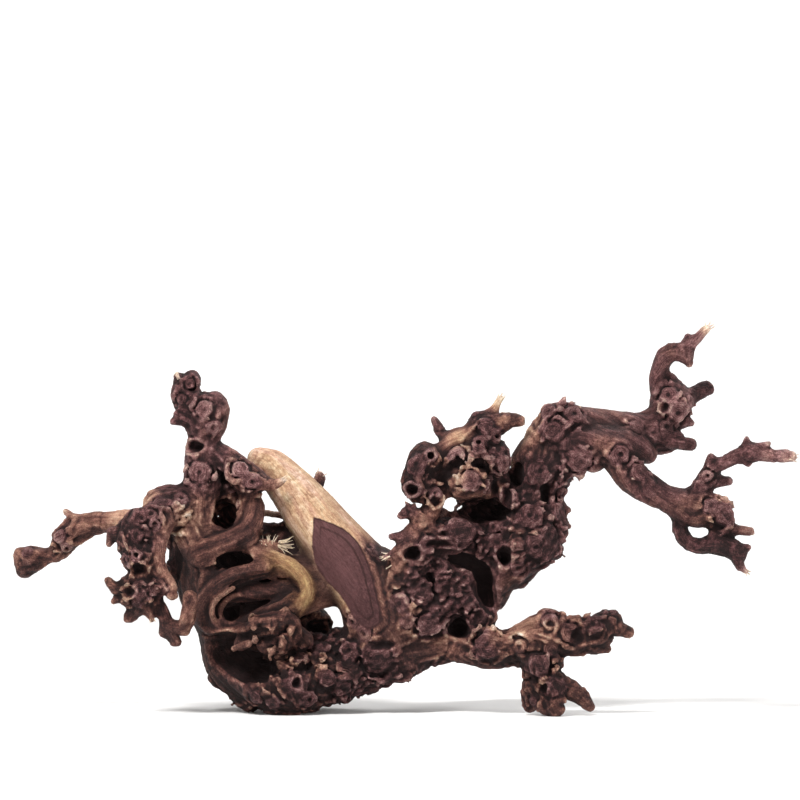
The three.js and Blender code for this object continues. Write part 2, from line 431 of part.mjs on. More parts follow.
// Draws the surface where the field is zero. Each cell of the grid is split into six tetrahedra that share
// the cell's long diagonal, so the triangles always close up.
function drawSurface(field) {
  const { values, size, low, step } = field;
  const nudge = 0.04 * step; // keeps the surface off the samples themselves
  for (let i = 0; i < values.length; i++)
    if (Math.abs(values[i]) < nudge) values[i] = values[i] < 0 ? -nudge : nudge;
  const corners = [];
  for (let c = 0; c < 8; c++) corners.push([c & 1, (c >> 1) & 1, (c >> 2) & 1]);
  const tetrahedra = [];
  for (const [first, second] of [[1, 2], [2, 4], [4, 1]])
    tetrahedra.push([0, first, first | second, 7], [0, first | second, second, 7]);
  const points = [];
  const faces = [];
  const made = new Map();

  for (let k = 0; k + 1 < size[2]; k++)
    for (let j = 0; j + 1 < size[1]; j++)
      for (let i = 0; i + 1 < size[0]; i++) {
        const ids = corners.map(([x, y, z]) => field.index(i + x, j + y, k + z));
        const inside = ids.filter((id) => values[id] < 0).length;
        if (inside === 0 || inside === 8) continue;

        // The point where the surface crosses the edge between two corners, made once
        const crossing = (one, other) => {
          const [p, q] = one < other ? [one, other] : [other, one];
          const key = ids[p] * 8 + (p ^ q);
          if (!made.has(key)) {
            const t = values[ids[p]] / (values[ids[p]] - values[ids[q]]);
            made.set(key, points.length / 3);
            [i, j, k].forEach((n, axis) => {
              points.push(low[axis] + (n + corners[p][axis] * (1 - t) + corners[q][axis] * t) * step);
            });
          }
          return made.get(key);
        };
        for (const tetra of tetrahedra) {
          const within = tetra.filter((c) => values[ids[c]] < 0);
          const without = tetra.filter((c) => values[ids[c]] >= 0);
          if (!within.length || !without.length) continue;
          const flip = isOdd([...within, ...without].map((c) => tetra.indexOf(c)));
          const loop = within.length === 2
            ? [[0, 0], [0, 1], [1, 1], [1, 0]].map(([w, o]) => crossing(within[w], without[o]))
            : within.flatMap((w) => without.map((o) => crossing(w, o)));
          if (flip) loop.reverse();
          for (let n = 2; n < loop.length; n++) faces.push(loop[0], loop[n - 1], loop[n]);
        }
      }
  return { points, faces };
}

function isOdd(order) {
  let odd = false;
  for (let i = 0; i < order.length; i++)
    for (let j = i + 1; j < order.length; j++) if (order[i] > order[j]) odd = !odd;
  return odd;
}

// A queue whose pop() takes the item of least cost
class Queue {
  constructor() {
    this.items = [];
  }

  push(item) {
    const { items } = this;
    let n = items.push(item) - 1;
    while (n > 0 && items[(n - 1) >> 1].cost > item.cost) {
      items[n] = items[(n - 1) >> 1];
      n = (n - 1) >> 1;
    }
    items[n] = item;
  }

  pop() {
    const { items } = this;
    const top = items[0];
    const last = items.pop();
    let n = 0;
    while (2 * n + 1 < items.length) {
      let child = 2 * n + 1;
      if (child + 1 < items.length && items[child + 1].cost < items[child].cost) child++;
      if (items[child].cost >= last.cost) break;
      items[n] = items[child];
      n = child;
    }
    if (items.length) items[n] = last;
    return top;
  }
}

// A surface that can merge the two ends of an edge. Each point keeps a quadric: the sum of the squared
// distances to the planes of the triangles it has stood for.
class Surface {
  constructor({ points, faces }) {
    this.at = Float64Array.from(points);
    const count = points.length / 3;
    this.quadrics = new Float64Array(count * 10);
    this.changes = new Uint32Array(count);
    this.around = Array.from({ length: count }, () => new Set());
    this.triangles = [];
    for (let f = 0; f < faces.length; f += 3) this.triangles.push([faces[f], faces[f + 1], faces[f + 2]]);
    this.triangles.forEach((corners, f) => corners.forEach((v) => this.around[v].add(f)));
    this.left = this.triangles.length;
    for (const corners of this.triangles) this.addPlane(corners);
  }

  place(v) {
    return [this.at[3 * v], this.at[3 * v + 1], this.at[3 * v + 2]];
  }

  // A triangle's normal, twice its area and the sum of its squared edges, with one corner moved if asked
  shapeOf(corners, moved = -1, to = null) {
    const [p, q, r] = corners.map((v) => (v === moved ? to : this.place(v)));
    const [ux, uy, uz] = q.map((value, axis) => value - p[axis]);
    const [vx, vy, vz] = r.map((value, axis) => value - p[axis]);
    const normal = [uy * vz - uz * vy, uz * vx - ux * vz, ux * vy - uy * vx];
    const third = (ux - vx) ** 2 + (uy - vy) ** 2 + (uz - vz) ** 2;
    const edges = ux * ux + uy * uy + uz * uz + vx * vx + vy * vy + vz * vz + third;
    return { normal, area: Math.hypot(...normal), edges };
  }

  addPlane(corners) {
    const { normal, area } = this.shapeOf(corners);
    const [a, b, c] = normal.map((n) => n / (area || 1));
    const [x, y, z] = this.place(corners[0]);
    const d = -(a * x + b * y + c * z);
    const terms = [a * a, a * b, a * c, a * d, b * b, b * c, b * d, c * c, c * d, d * d];
    for (const v of corners) terms.forEach((term, n) => (this.quadrics[10 * v + n] += term * area));
  }

  neighbours(v) {
    const found = new Set();
    for (const f of this.around[v]) for (const w of this.triangles[f]) if (w !== v) found.add(w);
    return found;
  }

  // Where the merged point would go, and what the merge would cost
  planMerge(a, b) {
    const q = new Float64Array(10);
    for (let n = 0; n < 10; n++) q[n] = this.quadrics[10 * a + n] + this.quadrics[10 * b + n];
    const ends = [new THREE.Vector3(...this.place(a)), new THREE.Vector3(...this.place(b))];
    const span = ends[0].distanceTo(ends[1]);
    const middle = ends[0].add(ends[1]).multiplyScalar(0.5);
    const matrix = new THREE.Matrix3(q[0], q[1], q[2], q[1], q[4], q[5], q[2], q[5], q[7]);
    const least = 1e-6 * (q[0] + q[4] + q[7]) ** 3;
    let best = middle;
    if (Math.abs(matrix.determinant()) > least) {
      const sharpest = new THREE.Vector3(-q[3], -q[6], -q[8]).applyMatrix3(matrix.invert());
      if (sharpest.distanceTo(middle) < span) best = sharpest;
    }
    const { x, y, z } = best;
    const error = q[0] * x * x + 2 * q[1] * x * y + 2 * q[2] * x * z + 2 * q[3] * x + q[4] * y * y
      + 2 * q[5] * y * z + 2 * q[6] * y + q[7] * z * z + 2 * q[8] * z + q[9];
    const seen = this.changes[a] + this.changes[b];
    return { a, b, seen, to: [x, y, z], cost: error + LONG_EDGE_COST * span ** 4 };
  }

  // A merge may not be out of date, pinch the surface, fold a triangle over or leave a new sliver
  allows({ a, b, to, seen }) {
    if (!this.around[a].size || !this.around[b].size) return false;
    if (seen !== this.changes[a] + this.changes[b]) return false;
    const nextToB = this.neighbours(b);
    if ([...this.neighbours(a)].filter((v) => nextToB.has(v)).length !== 2) return false;
    return [[a, b], [b, a]].every(([v, other]) => [...this.around[v]].every((f) => {
      if (this.triangles[f].includes(other)) return true;
      const before = this.shapeOf(this.triangles[f]);
      const after = this.shapeOf(this.triangles[f], v, to);
      const dot = before.normal.reduce((sum, n, i) => sum + n * after.normal[i], 0);
      const thinner = after.area * before.edges < before.area * after.edges;
      const newSliver = thinner && after.area < SLIVER * after.edges;
      return dot >= LEAST_COSINE * before.area * after.area && !newSliver;
    }));
  }

  merge({ a, b, to }) {
    for (const f of [...this.around[b]]) {
      if (this.triangles[f].includes(a)) {
        for (const v of this.triangles[f]) this.around[v].delete(f);
        this.left--;
      } else {
        this.triangles[f] = this.triangles[f].map((v) => (v === b ? a : v));
        this.around[a].add(f);
      }
    }
    this.around[b].clear();
    this.at.set(to, 3 * a);
    for (let n = 0; n < 10; n++) this.quadrics[10 * a + n] += this.quadrics[10 * b + n];
    this.changes[a] += 1;
  }

  // Merges edges, those that change the form least first, until few enough triangles are left
  thinOut(mostTriangles) {
    const queue = new Queue();
    for (const [a, b, c] of this.triangles)
      for (const [v, w] of [[a, b], [b, c], [c, a]]) if (v < w) queue.push(this.planMerge(v, w));
    while (this.left > mostTriangles && queue.items.length) {
      const plan = queue.pop();
      if (!this.allows(plan)) continue;
      this.merge(plan);
      for (const v of this.neighbours(plan.a)) queue.push(this.planMerge(plan.a, v));
    }
    return this;
  }

  toSolid() {
    const names = new Map();
    const rename = (v) => names.get(v) ?? names.set(v, names.size).get(v);
    const kept = this.triangles.filter(([v], f) => this.around[v].has(f));
    const triVerts = Uint32Array.from(kept.flat(), rename);
    const vertProperties = Float32Array.from([...names.keys()].flatMap((v) => this.place(v)));
    return new wasm.Manifold(new wasm.Mesh({ numProp: 3, vertProperties, triVerts }));
  }
}

// A block whose top is the floor
function floorBlock() {
  const block = new THREE.BoxGeometry(FLOOR.length, FLOOR.depth, FLOOR.height);
  block.translate(0, 0, -FLOOR.height / 2);
  block.deleteAttribute("normal");
  block.deleteAttribute("uv");
  const merged = mergeVertices(block);
  const vertProperties = merged.attributes.position.array;
  const triVerts = Uint32Array.from(merged.index.array);
  return new wasm.Manifold(new wasm.Mesh({ numProp: 3, vertProperties, triVerts }));
}

const wasm = await Module();
wasm.setup();
const bodies = new Surface(drawSurface(makeField())).thinOut(MOST_TRIANGLES).toSolid().decompose();
const largest = bodies.sort((p, q) => q.volume() - p.volume())[0];
const drawn = largest.subtract(floorBlock()).getMesh();
const geometry = new THREE.BufferGeometry()
  .setAttribute("position", new THREE.BufferAttribute(drawn.vertProperties, 3))
  .setIndex(new THREE.BufferAttribute(drawn.triVerts, 1));
geometry.computeVertexNormals();
geometry.computeBoundingBox();
const middle = geometry.boundingBox.getCenter(new THREE.Vector3());

const dryWood = new THREE.MeshStandardMaterial({ color: new THREE.Color(0.3, 0.2, 0.155), roughness: 0.85 });
const root = new THREE.Mesh(geometry, dryWood);
root.name = "root";
root.position.set(-middle.x, -middle.y, 0); // the origin is on the floor, under the middle of the root

const group = new THREE.Group();
group.add(root);
export default group;
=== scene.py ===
"""The looks of a dry root: a gnarled, burled rootstock, grown as one piece, washed and dried.

The wood is drawn as signed distances in millimetres on a fine grid: limbs swept along splines, burls that
swell out of them, hollows cut into them, then the lumps, ringed knots, furrows and grooves of the surface.
One mesh is drawn round it. Its vertices carry what the material needs: how bare the wood is, how deep it
lies and its grain. Places and sizes are in millimetres, with the front towards -Y and the floor at Z = 0.
"""
import math

import bpy
import numpy as np
import openvdb
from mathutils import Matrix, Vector


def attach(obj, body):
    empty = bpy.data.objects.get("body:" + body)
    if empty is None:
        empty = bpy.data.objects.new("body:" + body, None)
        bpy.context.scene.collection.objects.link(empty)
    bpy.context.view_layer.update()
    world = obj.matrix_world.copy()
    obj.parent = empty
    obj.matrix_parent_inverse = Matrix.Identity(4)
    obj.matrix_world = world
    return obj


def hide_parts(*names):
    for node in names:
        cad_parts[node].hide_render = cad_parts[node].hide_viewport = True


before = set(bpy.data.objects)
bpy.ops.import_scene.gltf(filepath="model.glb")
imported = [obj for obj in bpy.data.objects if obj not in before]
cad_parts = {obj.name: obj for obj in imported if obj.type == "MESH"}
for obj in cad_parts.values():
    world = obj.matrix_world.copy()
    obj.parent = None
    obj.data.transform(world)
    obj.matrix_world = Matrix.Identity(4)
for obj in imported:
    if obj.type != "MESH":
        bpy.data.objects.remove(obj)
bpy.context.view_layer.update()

MM = 0.001  # in metres, the scene's unit
MIDDLE = np.array([-1.553, 27.972, 0.0])  # the middle of the drawing below, which goes to the part's origin

# How widely one shape runs into the next, mm
LIMB_BLEND = 5.0
SMOOTH_BLEND = 8.0
BURL_BLEND = 5.5
KNOT_BLEND = 3.0
HOLLOW_BLEND = 1.6
KNOT_RISE = 0.34  # how far a knot stands out, as a share of its radius

# The burls strewn over the limbs of at least this radius
BURLED_FROM = 8.0
BURL_SPACING = 15.0
BURL_SMALLEST = 4.6
BURL_LARGEST = 7.6
BURLS_KEPT = 0.62  # the share of the solid model's burls that is drawn here, each BURL_SWELL times as wide
BURL_SWELL = 1.3
BURLS_RINGED = 0.22  # the share of them that has a ringed knot on it

# The grid
SPLINE_STEP = 4.0
STEP = 1.1
PAD = 7.5  # how far from a limb its distance is worked out
FAR = 14.0  # the distance that stands for anything further
RELIEF_BAND = 4.0  # how near the surface the relief is worked out
MOST_TRIANGLES = 196000
POINTS_AT_ONCE = 8000

# The heights and depths of the relief
SWELL_HEIGHT = 1.9
FIGURE_HEIGHT = 0.4
RIDGE_HEIGHT = 0.3
NODULE_HEIGHT = 1.3
NODULE_SIZE = 21
GROOVE_DEPTH = 1.6
FINE_GROOVE_DEPTH = 0.5
PIT_DEPTH = 2.0
PITTED = 0.14  # the share of the cells that has a pit
PIT_SPACING = 9
PIT_WIDTH = 1.5
ROUGHNESS = 0.2
SHRED_HEIGHT = 1.2
RING_HEIGHT = 0.36
MOAT_DEPTH = 1.5
EYE_DEPTH = 1.8
SCAR_DEPTH = 0.7
FIGURE_RINGS = 3.1  # growth rings for each unit of figure_of
RING_SPACING = 2.5

# The sizes of the noises that furrow the wood: along its fibres and twice across them
FURROWS = np.array([34, 4.4, 4.4], np.float32)
FINE_FURROWS = np.array([18, 2.3, 2.3], np.float32)
WIDE_FURROWS = np.array([44, 8.5, 8.5], np.float32)
SHREDS = np.array([20, 5, 5], np.float32)

# The paths of the limbs: x, y, z and radius at each point
LIMBS = {
    # The belly of the root, and what it rests on
    "base": [[-116, 2, 62, 16], [-116, 2, 48, 19.5], [-109, 0, 34, 22.5], [-94, 0, 27, 24],
        [-76, 0, 25, 24], [-56, 2, 26, 23], [-38, 2, 31, 21], [-20, 0, 37, 20.5], [0, -3, 43, 20.5],
        [18, -5, 46.5, 16], [32, -7, 47, 11.5]],
    "base_front": [[-102, -14, 30, 16], [-82, -20, 18.5, 20.4], [-60, -17, 21, 17], [-40, -12, 28, 15]],
    "base_back": [[-112, 32, 52, 16], [-100, 36, 36, 18], [-78, 40, 26, 20], [-52, 36, 28, 18],
        [-28, 28, 38, 16]],
    "heel": [[-80, 34, 34, 17], [-84, 56, 28, 13], [-88, 74, 20, 10], [-90, 90, 11, 8],
        [-91, 97, 5.5, 6.8]],
    "base_ridge": [[-104, -22, 48, 7], [-97, -26, 58, 7], [-88, -28, 61, 7], [-79, -28, 63, 6.5],
        [-73, -26, 56, 6.5], [-66, -22, 49, 7]],
    "flank": [[-141, -2, 122, 13], [-136, -8, 112, 13], [-126, -12, 104, 12]],
    "dark_lobe": [[-68, 18, 54, 11], [-57, 20, 55, 10.5]],
    # The swirl of smooth wood over the belly, and the folds round the great hollow
    "swirl": [[-128, 5, 112, 18], [-126, 2, 98, 24], [-121, 2, 84, 29], [-112, 2, 72, 29.5],
        [-105, 3, 62, 27]],
    "swirl_front": [[-112, -4, 82, 26], [-95, -6, 82, 23], [-80, -6, 82, 18], [-72, -5, 82, 15]],
    "swirl_back": [[-122, 20, 104, 16], [-112, 26, 88, 20], [-96, 26, 78, 20], [-76, 22, 80, 16]],
    "fold_rim_top": [[-132, -19, 62, 5], [-133, -24, 74, 4.6], [-124, -29, 86, 4.4],
        [-109, -31, 94.5, 4.4], [-92, -31, 98, 4.6]],
    "fold_rim_low": [[-132, -19, 62, 5], [-125, -24, 54, 4.6], [-113, -27, 52.5, 4.4],
        [-101, -27, 57, 4.2], [-88, -26, 64, 4.4], [-76, -25, 69, 5]],
    "pale_loop": [[-97, -20, 103, 7.5], [-84, -24, 101.5, 6], [-74, -26, 98, 5.2], [-67.5, -26, 91, 5],
        [-65, -25, 82, 5.4], [-69, -22, 74, 6.5], [-78, -16, 67, 8]],
    "pale_tuft": [[-98, -8, 108, 8], [-91, -14, 109, 6.5], [-84, -12, 109, 4.5]],
    "sweep": [[-92, -4, 84, 21], [-74, -6, 84, 19.5], [-60, -3, 85, 17.5], [-46, 6, 89, 16],
        [-32, 12, 94, 15], [-16, 12, 94, 16]],
    # The tower of burls on the left, with its shoulder and crown
    "tower": [[-130, 2, 104, 20], [-134, 2, 118, 18], [-134, 2, 130, 15], [-134, 2, 142, 12.5],
        [-133.5, 2, 155, 12.5], [-133.5, 2, 168, 12.5], [-133.5, 2, 178, 10.5], [-130.5, 2, 186, 10.5],
        [-128.5, 1, 194, 12], [-127.5, 0, 200, 12], [-125.5, 0, 205, 8]],
    "tower_back": [[-124, 12, 160, 8], [-118, 14, 144, 9], [-113, 14, 126, 11], [-108, 12, 106, 14]],
    "shoulder": [[-124, 0, 172, 8], [-115, -4, 167, 9], [-108, -7, 160, 9.5], [-101, -9, 155, 9.5],
        [-93, -13, 153, 6], [-86, -16, 152, 3.6], [-80, -18, 154.5, 2.2]],
    "pillar": [[-106, -2, 156, 8], [-103, -2, 146, 7.5], [-103, -3, 134, 7.5], [-106, -4, 122, 9],
        [-112, -4, 110, 13]],
    "cross_root": [[-132, -18, 106, 9], [-118, -22, 113, 8], [-106, -20, 119, 7.5], [-100, -14, 127, 6.5],
        [-99, -8, 136, 6]],
    "left_lobe": [[-140, 0, 140, 11], [-152, -2, 140, 11], [-161.5, -4, 138, 11.6], [-165, -4, 134, 8.5]],
    "crown": [[-134, 2, 190, 9], [-141, 4, 197, 8], [-146, 6, 205, 7], [-149, 7, 212, 5.8],
        [-146, 7, 218, 5.8], [-141, 6, 220.5, 5]],
    "crown_horn_left": [[-147, 7, 218, 3.6], [-150.5, 7, 224, 2.4]],
    "crown_horn_right": [[-142, 6, 221, 4.4], [-140.5, 6, 224, 3]],
    "crown_spur": [[-140, -2, 192, 6], [-147, -5, 194.5, 4.4], [-153, -6, 193.5, 2.8]],
    "crown_thorn": [[-147, -5, 195, 3], [-151, -6, 199, 2]],
    "crown_knob": [[-143, 2, 206, 5], [-138, 0, 209, 4]],
    # The long arm to the left
    "left_arm": [[-148, 4, 126, 10], [-165, 6, 127, 8], [-182, 9, 127.5, 7.3], [-197, 12, 126, 6.8],
        [-208, 15, 124.2, 7.4], [-219, 18, 119, 9.8], [-227, 21, 114, 9.8], [-231, 23, 107.5, 7],
        [-237, 25, 103.8, 5.4], [-245, 27, 102.8, 6.4], [-252, 29, 103, 6.6], [-257, 30, 103.5, 5.2]],
    "left_arm_spur": [[-205, 14, 127, 4], [-215, 16, 129.5, 2.8], [-222, 17, 130.5, 2.4],
        [-226, 18, 133, 2.3]],
    "left_arm_end": [[-246, 27, 99, 5], [-254, 29, 95, 6.6]],
    # The cluster of knots and spikes that hangs at the left, and its twigs
    "cluster": [[-150, -8, 132, 10], [-162, -18, 130, 8], [-173, -26, 125, 9], [-177, -30, 115, 10.5],
        [-174, -32, 104, 10.5], [-172, -32, 94, 9.8], [-172, -31, 84, 10], [-174, -30, 75, 8],
        [-178, -29, 68, 5.5], [-181, -28, 64, 4.6]],
    "cluster_spur_top": [[-184, -28, 119, 5.5], [-191, -27, 120, 4.2], [-194, -27, 113, 2.2]],
    "cluster_horn": [[-180, -32, 86, 5], [-189, -33, 84, 4], [-194.5, -33, 89, 2.8]],
    "cluster_thorn": [[-180, -31, 77, 4.5], [-187, -32, 76.5, 2.4], [-191, -32, 75, 2]],
    "cluster_spike": [[-170, -32, 76, 5], [-167.5, -34, 68, 3.6], [-165.5, -34, 63, 2.2]],
    "pale_droop": [[-159, -22, 128, 7], [-160.5, -29, 119, 6], [-161.5, -34, 110, 5],
        [-161, -36, 100, 4.4], [-157.5, -38, 92, 4.8], [-153.5, -39, 85, 5.4], [-152, -39, 80, 4]],
    "behind": [[-98, 10, 112, 9], [-87, 13, 118, 8.5], [-77, 12, 115, 9], [-68, 8, 104, 11]],
    "droop_back": [[-142, 0, 124, 10], [-147, -4, 108, 9], [-144, -2, 92, 10]],
    "twig_low": [[-168, -28, 84, 6], [-163.5, -29, 76, 5.2], [-158, -30, 67, 4.8], [-154.5, -31, 58, 4.4],
        [-150, -32, 49, 4.4]],
    "twig_low_spur": [[-154, -31, 57, 4], [-158.5, -31, 54.5, 2.4]],
    "twig_turned": [[-155.5, -31, 61, 4], [-148.5, -35, 58, 4.4], [-142, -38, 60.5, 4.6],
        [-140.5, -39, 68, 5], [-141.5, -39, 75, 3.6], [-139, -39, 79, 3.4]],
    "twig_turned_knobs": [[-143.5, -41, 64, 3.4], [-140, -42, 70, 3.8], [-137.5, -41, 75, 3],
        [-141, -41, 80.5, 3]],
    "twig_turned_spur": [[-146, -36, 58, 3.5], [-143, -38, 55, 2.5]],
    # The cut trunk of bare wood, and where it runs into the burls
    "trunk": [[-96, 16, 168, 8.5], [-88, 13, 163, 12], [-78, 9, 152.5, 14.5], [-62, 4, 133, 18],
        [-46, -2, 113, 20.5], [-31, -6, 95, 23], [-18, -8, 80, 25], [-8, -8, 66, 25]],
    "trunk_foot": [[-20, -7, 76, 19], [-20, -6, 62, 19], [-18, -4, 50, 20]],
    # The great burl and the column that leans out of it
    "burl_core": [[-12, -2, 52, 24], [4, 0, 66, 28], [18, 2, 84, 28], [32, 4, 98, 26], [48, 6, 109, 24],
        [62, 6, 120, 23], [75, 4, 130, 22], [84, 2, 142, 20], [90, 0, 156, 18], [95, -1, 170, 17.5],
        [101, -2, 183, 16.5], [107, -3, 191, 14]],
    "burl_right": [[38, -4, 62, 14], [49, -4, 73, 11], [58, -5, 86, 13.5], [69, -6, 100, 16],
        [84, -6, 113, 19.5], [87, -6, 126, 18], [90, -5, 140, 14]],
    "edge_spike_high": [[98, -4, 138, 6], [105, -5, 136, 3.6], [110, -6, 134.6, 1.8]],
    "edge_spike_middle": [[98, -4, 127, 7], [105, -5, 125, 4], [110.5, -6, 124, 2]],
    "edge_spike_low": [[94, -4, 109, 6], [102, -5, 106.5, 3.6], [107, -6, 104.5, 2]],
    "burl_tie": [[46, -10, 52, 9], [56, -12, 62, 6], [56, -10, 72, 8]],
    "burl_left": [[-10, -12, 78, 20], [0, -16, 92, 16], [8, -18, 104, 12], [18, -18, 112, 12],
        [32, -18, 119, 12], [44, -16, 121, 10]],
    "burl_back": [[-10, 24, 60, 18], [8, 33, 70, 20], [30, 40, 88, 22], [55, 42, 107, 21],
        [76, 34, 128, 17]],
    # The crest of roots over the burl, and the plait that hangs from it
    "crest_left": [[20, -16, 150, 9], [13.5, -22, 148, 10], [9, -25, 152, 11], [9.5, -25, 162, 9.8],
        [12, -23, 170, 9.2], [13.5, -20, 175, 5.2]],
    "crest": [[15, -18, 165, 10], [24, -16, 170, 8.5], [33, -14, 178, 7.8], [43, -14, 184, 6.8],
        [52, -14, 189, 7.2]],
    "crest_end": [[52, -14, 189, 7.2], [60, -14, 191, 8.4], [70, -14, 194, 6.6], [77, -14, 194.5, 5]],
    "crest_body": [[40, -10, 176, 10], [52, -13, 178, 13], [60, -13, 174, 10.5], [63, -11, 164, 8]],
    "crest_arch": [[31, -16, 158, 6.5], [33, -18, 167, 8], [40, -18, 170, 8]],
    "crest_knob": [[50, -14, 190, 6], [49.5, -14, 196.5, 3.8]],
    "crest_stick": [[57, -14, 196, 3.6], [61, -14, 203, 2.6], [64.5, -14, 209, 2.2]],
    "crest_horn": [[36, -10, 183, 6], [28.5, -9, 183, 5], [23.5, -9, 189, 4.3], [20.5, -9, 194.5, 3]],
    "tongue": [[60, -4, 150, 12], [50, -10, 152, 12], [43, -18, 153, 13.5], [40, -20, 152, 11]],
    "crest_stem": [[50, 6, 150, 16], [62, 8, 140, 18], [72, 6, 130, 18]],
    "plait": [[22, -20, 150, 8], [22, -24, 142, 6.2], [17.5, -27, 133, 5.7], [10, -29, 125, 5.6],
        [4, -30, 117, 5.2], [0, -30, 109, 4.8], [-3, -30, 102, 4.2], [-4, -30, 98.5, 3]],
    "plait_finger": [[-2, -30, 109, 3], [-8, -32, 106, 2.4], [-12, -32, 104, 2]],
    "plait_knob": [[12, -29, 129, 5], [5, -31, 134, 4.6], [-1, -32, 132, 2.6]],
    "plait_side": [[4, -30, 119, 4.4], [-3, -32, 118, 3.2], [-8, -32, 118, 2.6]],
    "plait_tie": [[20, -14, 137, 2.6], [30, -6, 132, 2.6], [38, 0, 126, 4]],
    # The upper arm to the right, with its hook and stubs
    "strut": [[80, 2, 168, 7.5], [87.5, 0, 178, 6.8], [95, -2, 189, 6.8], [100.5, -2, 198, 6.5]],
    "upper_arm": [[101, -2, 195, 8], [110, -1, 193.5, 12], [124, 2, 191, 12], [138, 5, 190, 11.3],
        [150, 8, 189, 11.3], [161, 11, 189.5, 10.5], [172, 14, 195, 11], [180, 15, 204, 13],
        [182, 15, 210, 10]],
    "under_arm": [[104, -6, 180, 12], [113, -8, 172, 11], [121, -9, 170, 9], [126, -9, 166, 6.5]],
    "under_fill": [[99, -4, 160, 9.5], [108, -6, 164, 7.5]],
    "arm_twist": [[104, -5, 184, 11], [118, -8, 182, 9], [132, -10, 180, 9.5], [146, -8, 178, 10.5],
        [157, -3, 175, 9.5], [163, 0, 172, 6.5]],
    "arm_join": [[165, 10, 183, 12], [172, 12, 181, 10.5], [178, 11, 182, 8.5], [183, 8, 183, 5.5]],
    "head_horn": [[180, 14, 213, 7], [181, 14, 219, 4], [181, 14, 222.5, 2.8]],
    "peg": [[180, 2, 181, 5], [187, 0, 179.5, 4.2], [192, 0, 178.5, 4]],
    "head_stub": [[182, 13, 197, 7], [188, 13, 194, 5], [193, 13, 192.5, 3]],
    "hook": [[171.5, 13, 211, 5], [170, 12, 219, 5.4], [171.5, 11, 227, 6], [174.5, 10, 235, 6.2],
        [180, 9, 239.5, 6], [185.5, 8, 239.5, 5.4], [189.5, 7, 236, 4.4], [191, 7, 232.5, 2.8]],
    "hook_knob": [[176, 9, 240, 4.5], [178, 9, 243.5, 2.8]],
    "hook_stick": [[187, 7, 241, 5], [193, 6, 246, 3.6], [199, 5, 252, 3], [203, 4, 256, 2.6]],
    "hook_spur": [[189, 7, 243, 3.2], [190, 7, 249, 2.2], [190, 7, 251, 1.9]],
    "side_stub": [[184, 18, 207, 7], [193, 21, 211, 5.6], [200, 23, 214, 5.6], [205, 25, 216, 4.8]],
    # The lower arm to the right, with its two sprays of twigs
    "right_arm": [[140, -10, 172, 7], [145, -12, 164, 9.5], [152, -13, 155, 10], [162, -14, 147.5, 9.3],
        [173, -15, 142.5, 8.8], [184, -16, 139, 10.6], [195, -17, 136, 12.3], [203.5, -18, 134, 10],
        [209, -18, 131, 8.2]],
    "right_flake": [[156, -11, 160, 6.2], [164, -11, 155, 4.6], [172, -11, 150.5, 3]],
    "twig_up": [[193, -17, 143, 7], [198, -20, 150.5, 7], [202, -23, 157, 6.5], [206, -25, 163, 5],
        [212, -28, 166.5, 4.4], [220, -31, 171, 4.2], [228, -33, 173.5, 4.6], [236, -35, 172.5, 4.6],
        [245, -37, 171, 4.8], [251, -39, 171, 4.8], [255, -40, 170.5, 3.8]],
    "twig_up_spur": [[202, -23, 161, 4.6], [203, -24, 166, 3.4], [203.5, -24, 170.5, 2.8]],
    "twig_up_stub": [[204, -21, 156, 4.5], [210, -21, 154.5, 3.4], [215, -21, 154.5, 3]],
    "twig_up_thorn": [[226, -33, 176, 2.8], [226.5, -33, 182.5, 2]],
    "twig_up_curl": [[231, -34, 175.5, 2.8], [237, -36, 178.5, 2.2], [241, -37, 179.5, 2]],
    "twig_up_heel": [[227, -33, 170, 3.2], [227.5, -33, 165.5, 2.2]],
    "twig_down": [[183, -13, 130, 4.8], [183.5, -13, 122, 4.8], [187.5, -14, 115.5, 5],
        [194.5, -16, 111.5, 5], [202, -18, 112, 5.4], [209.5, -20, 112.5, 6], [216.5, -21, 110, 5],
        [221, -22, 103, 4], [223, -23, 97.5, 3.4], [227, -24, 94.5, 2.2]],
    "twig_down_tie": [[206.5, -19, 115, 5.5], [210, -17, 121, 6], [211, -18, 127, 7]],
    "finger_long": [[210, -18, 122, 4.2], [219, -19, 122, 2.9], [230, -20, 121, 2.5]],
    "finger_short": [[214, -20, 110, 4.2], [222, -22, 110, 3], [228.5, -22, 110.5, 2.3]],
    "finger_thorn": [[220, -22, 109, 3.4], [224, -23, 105, 2.2]],
    # The root that runs out to the right, and the foot under it
    "foot_arm": [[30, -7, 47, 11], [44, -12, 45, 12], [58, -18, 43.5, 13], [71, -23, 44, 11.5],
        [82, -26, 48, 13.5], [94, -28, 54, 13], [106, -29, 52, 13], [118, -30, 52.5, 12.6],
        [127, -31, 54, 11.5], [135.5, -32, 58.5, 8.2], [143.5, -33, 56, 5.4], [148.5, -33, 54.5, 4]],
    "foot_arm_knob": [[131, -32, 61, 7], [138.5, -32, 65, 4.6]],
    "foot_arm_spur": [[125, -30, 46.5, 6.4], [131, -31, 43.5, 3.8], [135, -31, 43, 3]],
    "foot": [[88, -28, 46, 13], [91, -30, 34, 12], [91.5, -32, 24, 11], [94.5, -35, 15, 9.5],
        [98, -38, 7.5, 8], [100, -39, 4.5, 6.4]],
    "toe_left": [[86, -27, 18, 7], [84.5, -26, 10, 6], [83.5, -26, 6.5, 5]],
    "toe_right": [[99, -33, 24, 7.5], [107, -34, 18.5, 6.2], [114.5, -34, 14, 5.8], [120, -34, 9, 4.6],
        [123.5, -34, 6, 3.4]],
    # Roots on the far side
    "back_root": [[-92, 32, 92, 15], [-78, 42, 108, 11], [-67, 46, 128, 7.5], [-60, 46, 146, 4.8],
        [-57, 45, 157.5, 3.2]],
    "back_root_spur": [[-58.5, 45, 149, 3.8], [-54.5, 45, 154.5, 2.4]],
